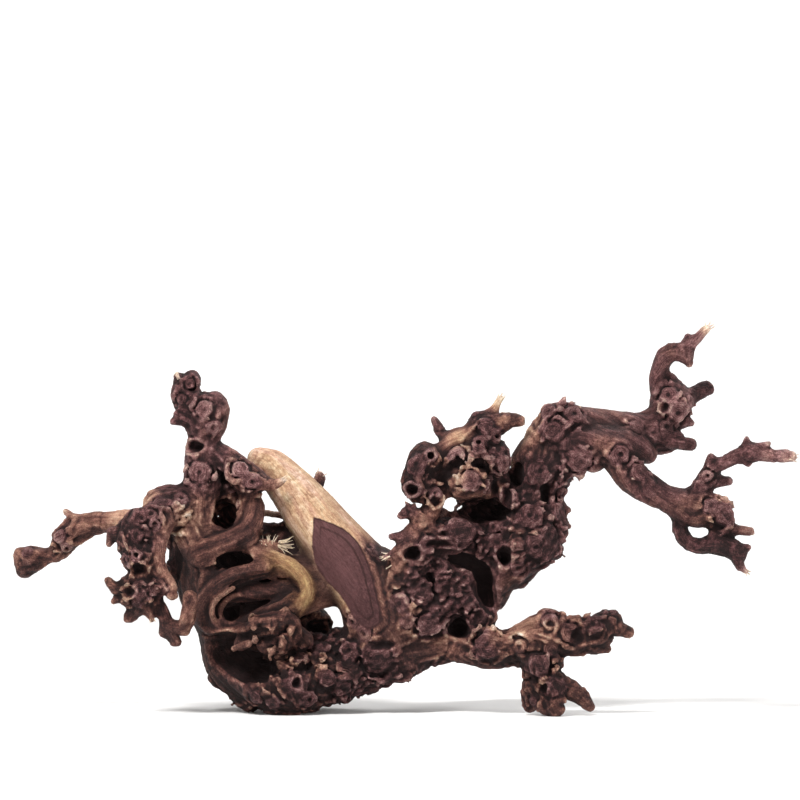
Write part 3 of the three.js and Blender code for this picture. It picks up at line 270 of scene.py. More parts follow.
    "back_tie": [[-102, 4, 134, 3], [-92, 20, 132, 2.4], [-80, 34, 130, 2.4], [-68, 44, 129, 4]],
    "back_swirl": [[-118, 28, 88, 15], [-128, 50, 92, 9], [-132, 66, 87, 7], [-131, 78, 79, 5.2]],
    "back_tower": [[-128, 8, 150, 10], [-124, 24, 156, 7], [-120, 36, 163, 5.2], [-119, 45, 165, 4.2]],
    "back_stub": [[68, 36, 118, 13], [73, 56, 131, 9], [77, 71, 139, 6.8], [81, 82, 142, 5.4]],
    "back_low": [[26, 40, 80, 14], [34, 62, 75, 9], [40, 77, 66, 6.8], [43, 87, 59, 5.4]],
}

# Limbs of smooth wood
SMOOTH = [
    "trunk", "trunk_foot", "sweep", "pale_loop", "pale_tuft", "pale_droop", "swirl", "swirl_front",
    "cross_root", "pillar", "left_arm", "strut", "crest", "crest_end", "plait", "arm_twist", "right_arm",
    "hook", "under_fill",
]

# Limbs with no burls strewn over them, though they aren't wholly smooth
PLAIN = [
    "upper_arm", "under_arm", "arm_join", "tongue", "flank", "crest_left", "base_front", "base_ridge",
    "foot_arm", "tower", "shoulder", "left_lobe",
]

# How far the fibres of a limb twist round it, in radians for each mm
TWISTED = {
    "upper_arm": 0.05, "arm_twist": 0.045, "under_arm": 0.04, "right_arm": 0.02, "hook": 0.03,
    "left_arm": 0.02, "crest": 0.02, "plait": 0.05, "trunk": 0.002,
}

# Limbs between the two, from 0, smooth, to 1, burled
HALF_SMOOTH = {
    "flank": 0.3, "fold_rim_top": 0.1, "fold_rim_low": 0.15, "tower": 0.45, "left_lobe": 0.6,
    "tongue": 0.15, "shoulder": 0.6, "foot_arm": 0.65, "arm_join": 0.5, "edge_spike_high": 0.3,
    "edge_spike_middle": 0.3, "edge_spike_low": 0.3, "left_arm": 0.45, "pale_droop": 0.75, "crest": 0.3,
    "crest_end": 0.6, "crest_left": 0.3, "right_arm": 0.25, "hook": 0.35, "plait": 0.5, "twig_up": 0.95,
    "twig_down": 0.95, "under_fill": 0.6, "upper_arm": 0.15, "under_arm": 0.4, "pillar": 0.2,
    "tower_back": 0.4,
}

# Ringed knots on the front: x, z and radius
KNOTS = [
    # Tower, cluster and left arm
    [-135, 160, 9], [-126, 190, 6], [-132, 202, 7], [-108, 162, 7], [-100, 154, 6], [-110, 138, 4],
    [-160, 139, 8], [-166, 132, 5], [-175, 119, 5.5], [-172, 130, 4.4], [-182, 103, 6], [-175, 106, 4.5],
    [-173, 83.5, 7.5], [-175, 75, 4.5], [-164, 126, 5], [-230, 117, 6], [-225, 109, 5], [-252, 106, 4.5],
    [-147, 208, 5], [-142, 219, 4.6],
    # Belly
    [-70, 22, 10], [-17, 37, 12], [-36, 42, 8], [-55, 43, 8], [-40, 18, 8], [-62, 11, 7], [-86, 8, 6.5],
    [-97, 12, 6], [-92, 50, 7], [-68, 36, 7], [-25, 54, 6], [-50, 24, 7], [-33, 62, 6],
    # Root and foot on the right
    [56, 46, 10.5], [77, 46, 5.5], [97, 62, 7], [89, 34, 9], [100, 19, 8], [125, 60, 7], [110, 55, 8],
    [97, 44, 6], [86, 9, 5],
    # Great burl and leaning column
    [86, 112, 8.5], [91, 160, 11], [99, 187, 8.5], [113, 198, 8], [97, 200, 6.5], [38, 121, 12],
    [12, 81, 10], [28, 85, 9], [41, 91, 8], [17, 60, 10], [3, 62, 6], [62, 114, 7], [60, 124, 5],
    [96, 119, 9], [102, 134, 8], [84, 131, 10], [71, 144, 7], [57, 152, 7.5], [24, 97, 8], [50, 64, 7],
    [31, 71, 8], [45, 75, 6], [16, 112, 8], [31, 110, 8], [94, 107, 7], [106, 124, 5], [76, 97, 6],
    [-2, 75, 7],
    # Crest and arms
    [8.5, 165.5, 8], [18, 171, 5.4], [6, 149, 7.5], [36, 171, 7], [50, 180, 6], [62, 184, 6],
    [55, 190, 6], [21, 146, 6], [66, 166, 7], [44, 155, 8], [117, 168, 9.5], [144, 172, 7.5],
    [156, 160, 7], [177, 211, 7], [183, 200, 8.5], [191, 207, 6], [175, 190, 6], [203, 138, 6],
    [212, 132, 8.5], [201, 158, 5], [155, 190, 6],
]

# Hollows in the front: x, z, half their width, half their height and depth
HOLLOWS = [
    [-139, 177, 6, 4, 7], [-119, 131, 9, 12, 17], [-57, 56, 8, 7, 9], [-58, 38, 5, 4, 5],
    [-70, 22, 3, 3.4, 6], [-181, 82, 4.5, 4, 6], [-174, 97, 5, 4, 6], [5.6, 148.5, 4.2, 4, 8],
    [22, 141, 4, 3.4, 5], [6, 107, 5.5, 4.4, 9], [18, 171, 3, 2.6, 4], [67, 104, 4.6, 6.6, 15],
    [37, 57, 7, 7, 15], [76, 159, 4.8, 9, 12], [94.5, 147, 3.6, 8, 7], [174, 203, 3.4, 3, 4],
    [92, 19, 3, 4, 4], [115, 52, 5, 8, 6], [52, 135, 20, 9, 24], [61, 148, 2.8, 8, 7],
    [69, 143.5, 3.4, 7.5, 9], [-14, 46, 9, 3, 4], [97, 61, 3, 2.6, 4], [23, 113, 9, 3, 7],
]

# Folds of wood in the great hollow, and the rugged lump before the bowl under it
FOLDS = [
    [[-121, -15, 73, 3.6], [-109, -20, 79, 5.4], [-96, -22, 81, 6], [-84, -21, 83, 5.6],
        [-74, -19, 86, 4.2]],
    [[-104, -20, 61, 3.4], [-95, -24, 66, 4.6], [-84, -26, 72, 5], [-74, -24, 78, 4.4]],
    [[-122, -26, 59, 1.7], [-126.5, -28, 67, 1.9], [-122, -30, 77, 1.9], [-112, -31, 84.5, 1.7]],
    [[-118, -22, 58, 1.6], [-121.5, -24, 67, 1.9], [-117, -26, 75.5, 1.9], [-108, -26, 80, 1.6]],
    [[-107, -24, 47, 5], [-100, -30, 55, 6.5], [-93, -33, 59, 8], [-84, -34, 61, 8.5],
        [-77, -33, 63, 6.5], [-72, -30, 57, 6], [-80, -30, 50, 8.5], [-90, -30, 47, 7]],
    [[-112, -31, 44, 2], [-104, -37, 47, 2.6], [-97, -40, 50, 2.4], [-98, -42, 58, 2.4],
        [-99, -38, 65, 2]],
    [[-99, -38, 65, 2], [-91, -42, 62, 2.4], [-84, -41, 64, 2.2], [-77, -37, 69.5, 2.2]],
    [[-77, -37, 69.5, 2.2], [-83, -43, 61, 2.4], [-88, -44, 54, 2.6], [-86, -41, 46, 2.6],
        [-87, -37, 38, 2]],
    [[-70, -34, 61, 2], [-74, -40, 56, 2.4], [-79, -41, 50, 2.4], [-80, -38, 43, 2]],
]

# Grooves between the folds
GROOVES = [
    [[-99, -17, 86, 2.6], [-91, -17, 88.5, 3.8], [-81, -17, 89, 4], [-75, -17, 87.5, 3]],
    [[-99, -28, 71, 2], [-91, -28, 74.5, 3.2], [-82, -28, 78.5, 3], [-75, -26, 82, 2]],
    [[-108, -30, 88, 1.8], [-118, -29, 82, 1.8], [-124, -27, 73, 1.8], [-123, -24, 62, 1.8]],
    [[-117, -30, 50, 3], [-104, -33, 52, 3.4], [-97, -36, 49, 2.4]],
    [[-99, -38, 64.5, 1.8], [-90, -41, 68, 1.6], [-82, -41, 70, 1.4]],
    [[-95, -42, 60, 1.3], [-88, -43, 55, 1.5], [-86, -40, 47, 1.6]],
    [[-84, -43, 66, 1.3], [-80, -43, 59, 1.5], [-76, -39, 51, 1.5]],
    [[-104, -36, 56, 1.3], [-96, -40, 55, 1.4], [-91, -39, 49, 1.5]],
    [[55, -23, 164, 2.8], [44, -25, 168.5, 3], [34, -26, 166, 3], [27, -26, 157, 3.4], [27, -24, 146, 4],
        [34, -22, 139, 4.4]],
    [[56, -23, 162, 2.6], [58.5, -22, 154, 3], [56, -21, 145, 3.2]],
    [[90, -19, 177, 2.2], [96, -21, 168, 2.8], [101, -20, 160, 3], [104, -18, 153, 2.4]],
]

# The dark crescent in the leaning column
CRESCENT = [
    [22, -30, 107, 3.4], [32, -30, 104, 5.4], [44, -28, 101, 6.6], [53, -24, 93, 8], [54, -20, 84, 8],
    [56, -17, 76, 7], [61, -14, 68, 4.8],
]
CRESCENT_DEPTH = 11

# Wide bowls, smooth inside: the centre, half its width, depth and height, and how far it leans
BOWLS = [
    [(-98.2, -34, 76), (32.5, 20, 14.5), math.radians(18)],
    [(-109, -28, 38), (28, 21, 15), math.radians(-20)],
    [(-110, -22, 101), (15, 12, 6.5), math.radians(-8)],
    [(-114, -18, 66.5), (6.5, 9, 5.5), 0.5],
    [(-62, -38, 33), (8, 14, 4.5), 0.3],
]

# The scar on the front of the trunk, from its pointed top down its right side and up its left, as x, z
SCAR_OUTLINE = [
    (-59.5, 130.5), (-47, 126.5), (-37, 121), (-29.5, 113.5), (-24.5, 104), (-20.5, 94), (-17.5, 82),
    (-15.5, 72), (-14, 62), (-22, 57), (-32, 63), (-37, 72), (-45, 82.5), (-52, 89.5), (-57, 97),
    (-60, 107), (-60, 119),
]

# Where the burled limbs are smooth: x, y, z and radius
SMOOTH_PATCHES = [
    [-124, -12, 42, 28], [-112, -16, 22, 24], [-108, -20, 40, 19], [12, -22, 48, 16], [80, -16, 84, 16],
    [-140, 2, 102, 20], [-118, -10, 10, 18], [85, -36, 52, 17], [82, 0, 178, 13], [138, -4, 186, 18],
    [36, -16, 180, 11], [176, 8, 196, 8], [38, -28, 122, 16], [85, -20, 131, 9], [92, -18, 163, 11],
    [104, -16, 193, 18], [66, -26, 92, 10], [-16, -30, 38, 10],
]

# Where the wood is torn and wrinkled
RUGGED_PATCHES = [
    [56, -26, 181, 14], [70, -20, 190, 9], [-87, -34, 55, 20], [-88, -22, 78, 20], [-106, -20, 76, 12],
    [-143, -12, 124, 17], [-120, -4, 136, 13], [128, -32, 56, 18], [-106, -20, 114, 12],
    [212, -18, 124, 12], [98, -34, 28, 14], [-93, -14, 108, 8],
]

# Where the bare wood is olive
OLIVE_PATCHES = [
    [-86, -26, 100, 9], [-74, -28, 97, 9], [-65, -28, 88, 11], [-65, -28, 78, 11], [-71, -22, 70, 9],
]

# How bare each limb of pale wood is: 0 is dark bark and 1 cream wood. One below 0 takes away some of what the
# limbs beside it lend it.
BARE_LIMBS = {
    "trunk": 0.95, "trunk_foot": 0.3, "sweep": 0.5, "pale_loop": 0.62, "pale_tuft": 0.55,
    "pale_droop": 0.42, "strut": 0.62, "flank": 0.2, "tongue": 0.2, "tower": 0.3, "crown": 0.18,
    "shoulder": 0.26, "upper_arm": 0.42, "left_lobe": 0.2, "arm_join": 0.26, "under_arm": 0.3,
    "head_stub": 0.16, "hook": 0.2, "cluster": 0.05, "plait": 0.34, "plait_finger": 0.6,
    "crest_stick": 0.7, "left_arm": 0.22, "hook_stick": 0.3, "left_arm_spur": 0.4, "twig_turned": 0.36,
    "tower_back": 0.2, "finger_long": 0.25, "twig_up": 0.2, "back_tie": 0.4, "back_root": 0.25,
    "cluster_spike": 0.3, "swirl": 0.04, "swirl_front": -0.06, "fold_rim_top": -0.12,
    "fold_rim_low": -0.14, "cross_root": 0.18, "pillar": 0.2, "crest": 0.3, "right_arm": 0.17,
    "foot_arm": 0.04, "base": -0.06, "base_front": -0.08, "base_ridge": -0.04, "burl_right": 0.1,
    "burl_core": 0.07, "burl_left": 0.06, "arm_twist": 0.26,
}

# Patches of bare wood: x, y, z, radius and how bare
BARE_PATCHES = [
    [-188, -2, 136, 20, 0.85], [-170, -8, 136, 16, 0.7], [-216, 12, 129, 14, 0.5],
    [-141, -18, 128, 20, 0.6], [-150, -16, 118, 14, 0.55], [-60, -14, 70, 16, 0.5],
    [-92, -14, 110, 12, 0.6], [-65, -30, 88, 10, 0.66], [36, -20, 183, 13, 0.7], [66, -22, 194, 6, 0.62],
    [63, -14, 205, 9, 0.75], [86, -4, 186, 16, 0.66], [80, -38, 58, 15, 0.62], [93, -40, 55, 12, 0.55],
    [60, -32, 56, 12, 0.4], [0, -24, 54, 18, 0.36], [28, -22, 48, 16, 0.4], [-143, -40, 64, 10, 0.45],
    [-258, 26, 102, 7, 0.55], [-108, -10, 136, 16, 0.4], [-81, -18, 155, 6, 0.6], [202, 4, 255, 8, 0.7],
    [254, -40, 170, 9, 0.55], [229, -22, 95, 6, 0.55], [12, -30, 128, 9, 0.5], [-2, -30, 100, 8, 0.62],
    [134, -20, 180, 14, 0.4], [150, -14, 158, 13, 0.36], [90, -10, 184, 9, 0.62], [67, -20, 166, 8, 0.45],
    [-150, -4, 224, 5, 0.4], [30, 60, 100, 18, 0.3], [-84, 30, 60, 18, 0.35], [38, -30, 155, 9, 0.62],
    [-108, -20, 60, 12, 0.3], [112, -6, 202, 12, 0.36], [-40, 30, 60, 18, 0.3], [184, -26, 140, 13, 0.36],
    [70, -22, 92, 14, 0.34], [-132, -18, 84, 14, 0.3], [-146, -14, 122, 16, 0.66],
    [-97, -12, 122, 9, 0.5], [240, -38, 174, 10, 0.4], [-84, -32, 101, 9, 0.5],
]


class Random:
    """Numbers from 0 to 1, the same on every run."""

    def __init__(self, seed):
        self.state = seed

    def __call__(self):
        self.state = (self.state * 1664525 + 1013904223) & 0xFFFFFFFF
        return self.state / 2**32


def lerp(a, b, t):
    return a + (b - a) * t


def smoothstep(low, high, value):
    t = np.clip((value - low) / (high - low), 0.0, 1.0)
    return t * t * (3 - 2 * t)


def wobble(x, y, z):
    """A smooth unevenness from -1 to 1, some 12 mm from crest to crest."""
    return (np.sin(0.33 * x + 0.21 * y + 1) * np.sin(0.41 * z - 0.17 * x)
            + 0.6 * np.sin(0.83 * z + 0.5 * x) * np.sin(0.7 * y + 0.6 * x + 2)) / 1.6


def soft_min(a, b, blend):
    overlap = np.maximum(0, blend - np.abs(a - b)) / blend
    return np.minimum(a, b) - overlap * overlap * blend / 4


def soft_max(a, b, blend):
    return -soft_min(-a, -b, blend)


def spline(points):
    """Balls along a centripetal Catmull-Rom spline through points, each as x, y, z, radius."""
    p = np.array(points, dtype=float)
    ends = np.vstack([2 * p[0] - p[1], p, 2 * p[-1] - p[-2]])
    balls = []
    for n in range(len(p) - 1):
        q = ends[n:n + 4, :3]
        gaps = [max(np.linalg.norm(q[i + 1] - q[i]) ** 0.5, 1e-4) for i in range(3)]
        slopes = []
        for i in (0, 1):
            first = (q[i + 1] - q[i]) / gaps[i] - (q[i + 2] - q[i]) / (gaps[i] + gaps[i + 1])
            slopes.append((first + (q[i + 2] - q[i + 1]) / gaps[i + 1]) * gaps[1])
        count = max(1, round(np.linalg.norm(q[2] - q[1]) / SPLINE_STEP))
        for i in range(count + (n == len(p) - 2)):
            t = i / count
            a, b = q[1], q[2]
            at = (a * (2 * t**3 - 3 * t**2 + 1) + b * (3 * t**2 - 2 * t**3)
                  + slopes[0] * (t**3 - 2 * t**2 + t) + slopes[1] * (t**3 - t**2))
            balls.append([*at, lerp(p[n][3], p[n + 1][3], t)])
    return np.array(balls)


def oval_share(dx, dy, dz, half, lean=0.0):
    """How far out of the middle of an oval each offset from it is, where 1 is on the oval."""
    along = dx * math.cos(lean) + dz * math.sin(lean)
    across = dz * math.cos(lean) - dx * math.sin(lean)
    return np.sqrt((along / half[0])**2 + (dy / half[1])**2 + (across / half[2])**2)


def patch_share(points, x, y, z, radius):
    """How far out of the middle of a round patch each point is, where 1 is on its edge."""
    return np.linalg.norm(points - np.array([x, y, z], np.float32), axis=1) / radius


class Limbs:
    """The straight pieces of every limb, with a frame along each that doesn't twist."""

    def __init__(self):
        self.start, self.end, self.length, self.side, self.up = ([] for _ in range(5))
        self.bare, self.burled, self.twist = [], [], []

    def add(self, name, balls):
        first = len(self.start)
        side = np.array([0.31, -0.72, 0.62])
        length = 37.0 * first
        for a, b in zip(balls[:-1], balls[1:]):
            along = b[:3] - a[:3]
            size = np.linalg.norm(along)
            along /= size
            side = side - along * side.dot(along)
            side /= np.linalg.norm(side)
            self.start.append(a)
            self.end.append(b)
            self.length.append(length)
            self.side.append(side)
            self.up.append(np.cross(along, side))
            self.bare.append(BARE_LIMBS.get(name, 0.0))
            self.burled.append(HALF_SMOOTH.get(name, 0.08 if name in SMOOTH else 1.0))
            self.twist.append(TWISTED.get(name, 0.008))
            length += size
        return first

    def freeze(self):
        for key, value in vars(self).items():
            setattr(self, key, np.array(value, dtype=np.float32))

    def local(self, points, which):
        """How far along its limb each point is, and where it is across it."""
        a, b = self.start[which, :3], self.end[which, :3]
        along = b - a
        size = np.linalg.norm(along, axis=1, keepdims=True)
        along /= size
        offset = points - a
        u = self.length[which] + (offset * along).sum(1)
        aside, above = (offset * self.side[which]).sum(1), (offset * self.up[which]).sum(1)
        turn = self.twist[which] * u
        return np.stack([u, aside * np.cos(turn) + above * np.sin(turn),
                         above * np.cos(turn) - aside * np.sin(turn)], axis=1)


class Field:
    """Signed distances to the wood, negative inside, on a grid."""

    def __init__(self, low, high):
        self.low = np.array(low, dtype=float)
        self.shape = tuple(int(n) for n in np.ceil((np.array(high) - self.low) / STEP) + 1)
        self.wood = np.full(self.shape, FAR, np.float32)
        self.near = np.full(self.shape, FAR, np.float32)
        self.piece = np.full(self.shape, -1, np.int16)

    def window(self, low, high):
        first = np.clip(np.floor((np.array(low) - self.low) / STEP).astype(int), 0, self.shape)
        last = np.clip(np.ceil((np.array(high) - self.low) / STEP).astype(int) + 1, 0, self.shape)
        cut = tuple(slice(a, b) for a, b in zip(first, last))
        axes = [self.low[n] + STEP * np.arange(first[n], last[n]) for n in range(3)]
        x, y, z = (axis.astype(np.float32) for axis in axes)
        return cut, x[:, None, None], y[None, :, None], z[None, None, :]

    def merge(self, cut, distance, blend, carve=False):
        here = self.wood[cut]
        self.wood[cut] = soft_max(here, -distance, blend) if carve else soft_min(here, distance, blend)

    def limb(self, balls, blend, carve=False, first=None):
        reach = np.maximum(balls[:-1, 3:4], balls[1:, 3:4]) + PAD
        low, high = np.minimum(balls[:-1, :3], balls[1:, :3]), np.maximum(balls[:-1, :3], balls[1:, :3])
        whole, whole_x, whole_y, whole_z = self.window((low - reach).min(0), (high + reach).max(0))
        origin = np.array([s.start for s in whole])
        size = tuple(s.stop - s.start for s in whole)
        best = np.full(size, FAR, np.float32)
        which = np.full(size, -1, np.int16)
        for n, (a, b) in enumerate(zip(balls[:-1], balls[1:])):
            reach = max(a[3], b[3]) + PAD
            cut, x, y, z = self.window(np.minimum(a, b)[:3] - reach, np.maximum(a, b)[:3] + reach)
            here = tuple(slice(s.start - o, s.stop - o) for s, o in zip(cut, origin))
            along = b[:3] - a[:3]
            px, py, pz = x - a[0], y - a[1], z - a[2]
            t = np.clip((px * along[0] + py * along[1] + pz * along[2]) / along.dot(along), 0, 1)
            distance = np.sqrt((px - t * along[0])**2 + (py - t * along[1])**2 + (pz - t * along[2])**2)
            distance -= lerp(a[3], b[3], t)
            closer = distance < best[here]
            best[here] = np.where(closer, distance, best[here])
            which[here] = np.where(closer, n, which[here])
        if carve:
            best += 0.5 * wobble(whole_x, whole_y, whole_z)
        self.merge(whole, best, blend, carve)
        if first is not None:
            closer = best < self.near[whole]
            self.near[whole] = np.where(closer, best, self.near[whole])
            self.piece[whole] = np.where(closer, which + first, self.piece[whole])

    def oval(self, centre, half, blend, carve=False, lean=0.0, lip=0.0, uneven=0.2):
        reach = max(half) * 1.5 + blend + 3
        cut, x, y, z = self.window(np.array(centre) - reach, np.array(centre) + reach)
        share = oval_share(x - centre[0], y - centre[1], z - centre[2], half, lean)
        fine = 1.6 if max(half) < 12 else 1
        share = share * (1 + uneven * wobble(fine * x, y, fine * z))
        if lip:
            self.wood[cut] -= lip * np.exp(-((share - 1.32) / 0.22)**2)
        self.merge(cut, (share - 1) * min(half), blend, carve)

    def ball(self, centre, radius, blend):
        self.oval(centre, (radius, radius, radius), blend)

    def dome(self, at, outward, radius, rise):
        """A low dome whose middle is at a point of the surface."""
        cut, x, y, z = self.window(at - radius - 6, at + radius + 6)
        dx, dy, dz = x - at[0], y - at[1], z - at[2]
        height = dx * outward[0] + dy * outward[1] + dz * outward[2]
        across = np.sqrt(np.maximum(dx * dx + dy * dy + dz * dz - height * height, 0))
        share = np.sqrt((across / radius)**2 + (height / rise)**2)
        share *= 1 + 0.16 * wobble(1.6 * x, y, 1.6 * z)
        self.merge(cut, (share - 1) * rise, KNOT_BLEND)

    def cell_at(self, point):
        nearest = np.round((point - self.low) / STEP)
        return (int(n) for n in np.clip(nearest, 3, np.array(self.shape) - 4))

    def value_at(self, point):
        return self.wood[tuple(self.cell_at(point))]

    def front_at(self, x, z):
        """Where a line along +Y from the front first meets the wood, or None."""
        i, k = round((x - self.low[0]) / STEP), round((z - self.low[2]) / STEP)
        column = self.wood[i, :, k]
        inside = np.nonzero(column < 0)[0]
        if len(inside) == 0:
            return None
        j = inside[0]
        return np.array([x, self.low[1] + (j - 1 + column[j - 1] / (column[j - 1] - column[j])) * STEP, z])

    def outward_at(self, point, reach=2):
        i, j, k = self.cell_at(point)
        w = self.wood
        slope = np.array([w[i + reach, j, k] - w[i - reach, j, k], w[i, j + reach, k] - w[i, j - reach, k],
                          w[i, j, k + reach] - w[i, j, k - reach]])
        return slope / max(np.linalg.norm(slope), 1e-6)


class Noise:
    """Smooth noise from -1 to 1 on a lattice of random numbers that repeats every 64 cells."""

    def __init__(self, seed):
        self.table = np.random.default_rng(seed).uniform(-1, 1, (64, 64, 64)).astype(np.float32)

    def __call__(self, points):
        base = np.floor(points).astype(np.int32)
        f = points - base
        f = f * f * (3 - 2 * f)
        lo, hi = base & 63, (base + 1) & 63
        value = 0
        for cx in (0, 1):
            wx = f[:, 0] if cx else 1 - f[:, 0]
            ix = (hi if cx else lo)[:, 0]
            for cy in (0, 1):
                wy = f[:, 1] if cy else 1 - f[:, 1]
                iy = (hi if cy else lo)[:, 1]
                value = value + wx * wy * ((1 - f[:, 2]) * self.table[ix, iy, lo[:, 2]]
                                           + f[:, 2] * self.table[ix, iy, hi[:, 2]])
        return value


def cells(points, size, seed):
    """The distances to the nearest and second nearest of random points about size apart, and a random
    number for the nearest."""
    table = np.random.default_rng(seed).random((32, 32, 32, 4)).astype(np.float32)
    q = (points / size).astype(np.float32)
    base = np.floor(q).astype(np.int32)
    f = q - base
    first = np.full(len(q), 9, np.float32)
    second = first.copy()
    name = np.zeros(len(q), np.float32)
    for offset in np.ndindex(3, 3, 3):
        step = np.array(offset) - 1
        cell = (base + step) & 31
        spot = table[cell[:, 0], cell[:, 1], cell[:, 2]]
        d = ((step + spot[:, :3] - f) ** 2).sum(1)
        closer = d < first
        second = np.where(closer, first, np.minimum(second, d))
        name = np.where(closer, spot[:, 3], name)
        first = np.where(closer, d, first)
    return np.sqrt(first) * size, np.sqrt(second) * size, name


def box_blur(values, radius):
    """The mean over a cube of samples, radius each way."""
    for axis in range(3):
        padded = np.concatenate([np.repeat(values.take([0], axis), radius + 1, axis), values,
                                 np.repeat(values.take([-1], axis), radius, axis)], axis)
        total = np.cumsum(padded, axis, dtype=np.float64)
        n = values.shape[axis]
        values = ((total.take(range(2 * radius + 1, 2 * radius + 1 + n), axis)
                   - total.take(range(n), axis)) / (2 * radius + 1)).astype(np.float32)
    return values


def sample(values, low, points):
    """Values of a grid at points, by trilinear interpolation."""
    q = (points - low) / STEP
    base = np.clip(np.floor(q).astype(int), 0, np.array(values.shape) - 2)
    f = np.clip(q - base, 0, 1)
    result = 0
    for corner in np.ndindex(2, 2, 2):
        weight = np.prod([f[:, n] if corner[n] else 1 - f[:, n] for n in range(3)], axis=0)
        i = base + np.array(corner)
        result = result + weight * values[i[:, 0], i[:, 1], i[:, 2]]
    return result


def draw_wood():
    """The limbs, burls and knots, much as in the solid model, and the bowls, folds and grooves."""
    paths = {name: spline(points) for name, points in LIMBS.items()}
    balls = np.vstack(list(paths.values()))
    low = (balls[:, :3] - balls[:, 3:]).min(0) - 8
    low[2] = -4
    field = Field(low, (balls[:, :3] + balls[:, 3:]).max(0) + 8)
    limbs = Limbs()
    for name, path in paths.items():
        field.limb(path, SMOOTH_BLEND if name in SMOOTH else LIMB_BLEND, first=limbs.add(name, path))
    limbs.freeze()

    random, choice = Random(41), Random(7)
    golden_angle = math.pi * (3 - math.sqrt(5))
    burls = []
    for name, path in paths.items():
        if name in SMOOTH:
            continue
        turn = random() * 2 * math.pi
        owed = 0.0
        for a, b in zip(path[:-1], path[1:]):
            along = b[:3] - a[:3]
            limb_radius = (a[3] + b[3]) / 2
            owed += 2 * math.pi * limb_radius * np.linalg.norm(along) / BURL_SPACING**2
            along = Vector(along).normalized()
            side = Vector((0.31, -0.72, 0.62)).cross(along).normalized()
            while owed >= 1:
                owed -= 1
                turn += golden_angle
                radius = lerp(BURL_SMALLEST, BURL_LARGEST, random() ** 2)
                angle = turn + 0.6 * random()
                outward = np.array(side * math.cos(angle) + along.cross(side) * math.sin(angle))
                axis = lerp(a[:3], b[:3], random())
                smooth = name in PLAIN or any(
                    np.linalg.norm(axis + outward * limb_radius - patch[:3]) < 0.8 * patch[3]
                    for patch in SMOOTH_PATCHES)
                if limb_radius >= BURLED_FROM and not smooth and choice() < BURLS_KEPT:
                    radius *= BURL_SWELL
                    field.ball(axis + outward * (limb_radius - 0.5 * radius), radius, BURL_BLEND)
                    burls.append((axis + outward * (limb_radius + 0.25 * radius), radius))

    seats = [(field.front_at(x, z), radius) for x, z, radius in KNOTS]
    knots = [(at, field.outward_at(at), radius) for at, radius in seats if at is not None]
    for at, outward, radius in knots:
        field.dome(at, outward, radius, KNOT_RISE * radius)
    for at, radius in burls:
        height = field.value_at(at)
        if abs(height) < 3 and choice() < BURLS_RINGED:
            outward = field.outward_at(at)
            at = at - outward * height
            if min(np.linalg.norm(at - knot[0]) / knot[2] for knot in knots) > 1.2:
                knots.append((at, outward, radius * (0.75 + 0.5 * choice())))
    for centre, half, lean in BOWLS:
        field.oval(centre, half, HOLLOW_BLEND, carve=True, lean=lean, uneven=0.05)
    for path in FOLDS:
        field.limb(spline(path), KNOT_BLEND)
    for path in GROOVES:
        field.limb(spline(path), HOLLOW_BLEND, carve=True)
    return field, limbs, knots


def carve_hollows(field):
    """The hollows, smooth inside, with a lip of wood grown round the small ones."""
    mouths = [field.front_at(x, z) for x, z, *_ in HOLLOWS]
    for mouth, (_, _, half_width, half_height, depth) in zip(mouths, HOLLOWS):
        if mouth is not None:
            lip = 1.0 if max(half_width, half_height) < 8 else 0.0
            field.oval(mouth, (half_width, depth, half_height), HOLLOW_BLEND, carve=True, lip=lip)
    trench = spline(CRESCENT)
    field.limb(trench, HOLLOW_BLEND, carve=True)
    field.limb(trench * [1, 1, 1, 0.8] + [0, CRESCENT_DEPTH, 0, 0], HOLLOW_BLEND, carve=True)


def near_knots(points, side, up, knots):
    """How far the fibres at each point are pushed aside by the knots they part round, and how far the point
    is from the middle of the knot it is on, as a share of that knot's radius and in millimetres."""
    shift = np.zeros((len(points), 2), np.float32)
    share = np.full(len(points), 4, np.float32)
    across = np.full(len(points), 40, np.float32)
    order = np.argsort(points[:, 0])
    sorted_x = points[order, 0]
    for at, outward, radius in knots:
        reach = 2.4 * radius
        first, last = np.searchsorted(sorted_x, (at[0] - reach, at[0] + reach))
        some = order[first:last]
        offset = points[some] - at.astype(np.float32)
        height = offset.dot(outward.astype(np.float32))
        flat = offset - height[:, None] * outward.astype(np.float32)
        distance = np.sqrt((flat * flat).sum(1))
        keep = (distance < reach) & (np.abs(height) < 1.2 * radius)
        some, flat, distance = some[keep], flat[keep], distance[keep]
        pull = np.minimum(1, (radius / np.maximum(distance, 0.01)) ** 2)
        pull = pull * smoothstep(reach, 1.3 * radius, distance)
        shift[some, 0] -= pull * (flat * side[some]).sum(1)
        shift[some, 1] -= pull * (flat * up[some]).sum(1)
        distance = distance * (1 + 0.2 * wobble(*(1.7 * points[some].T)))
        closer = distance / radius < share[some]
        share[some[closer]] = distance[closer] / radius
        across[some[closer]] = distance[closer]
    return shift, share, across


def bowl_share(points):
    """How far each point is out of the middle of the bowl it is in or near, where 1 is on the bowl."""
    result = np.full(len(points), 4.0)
    for centre, half, lean in BOWLS:
        result = np.minimum(result, oval_share(*(points - np.array(centre)).T, half, lean))
    return result


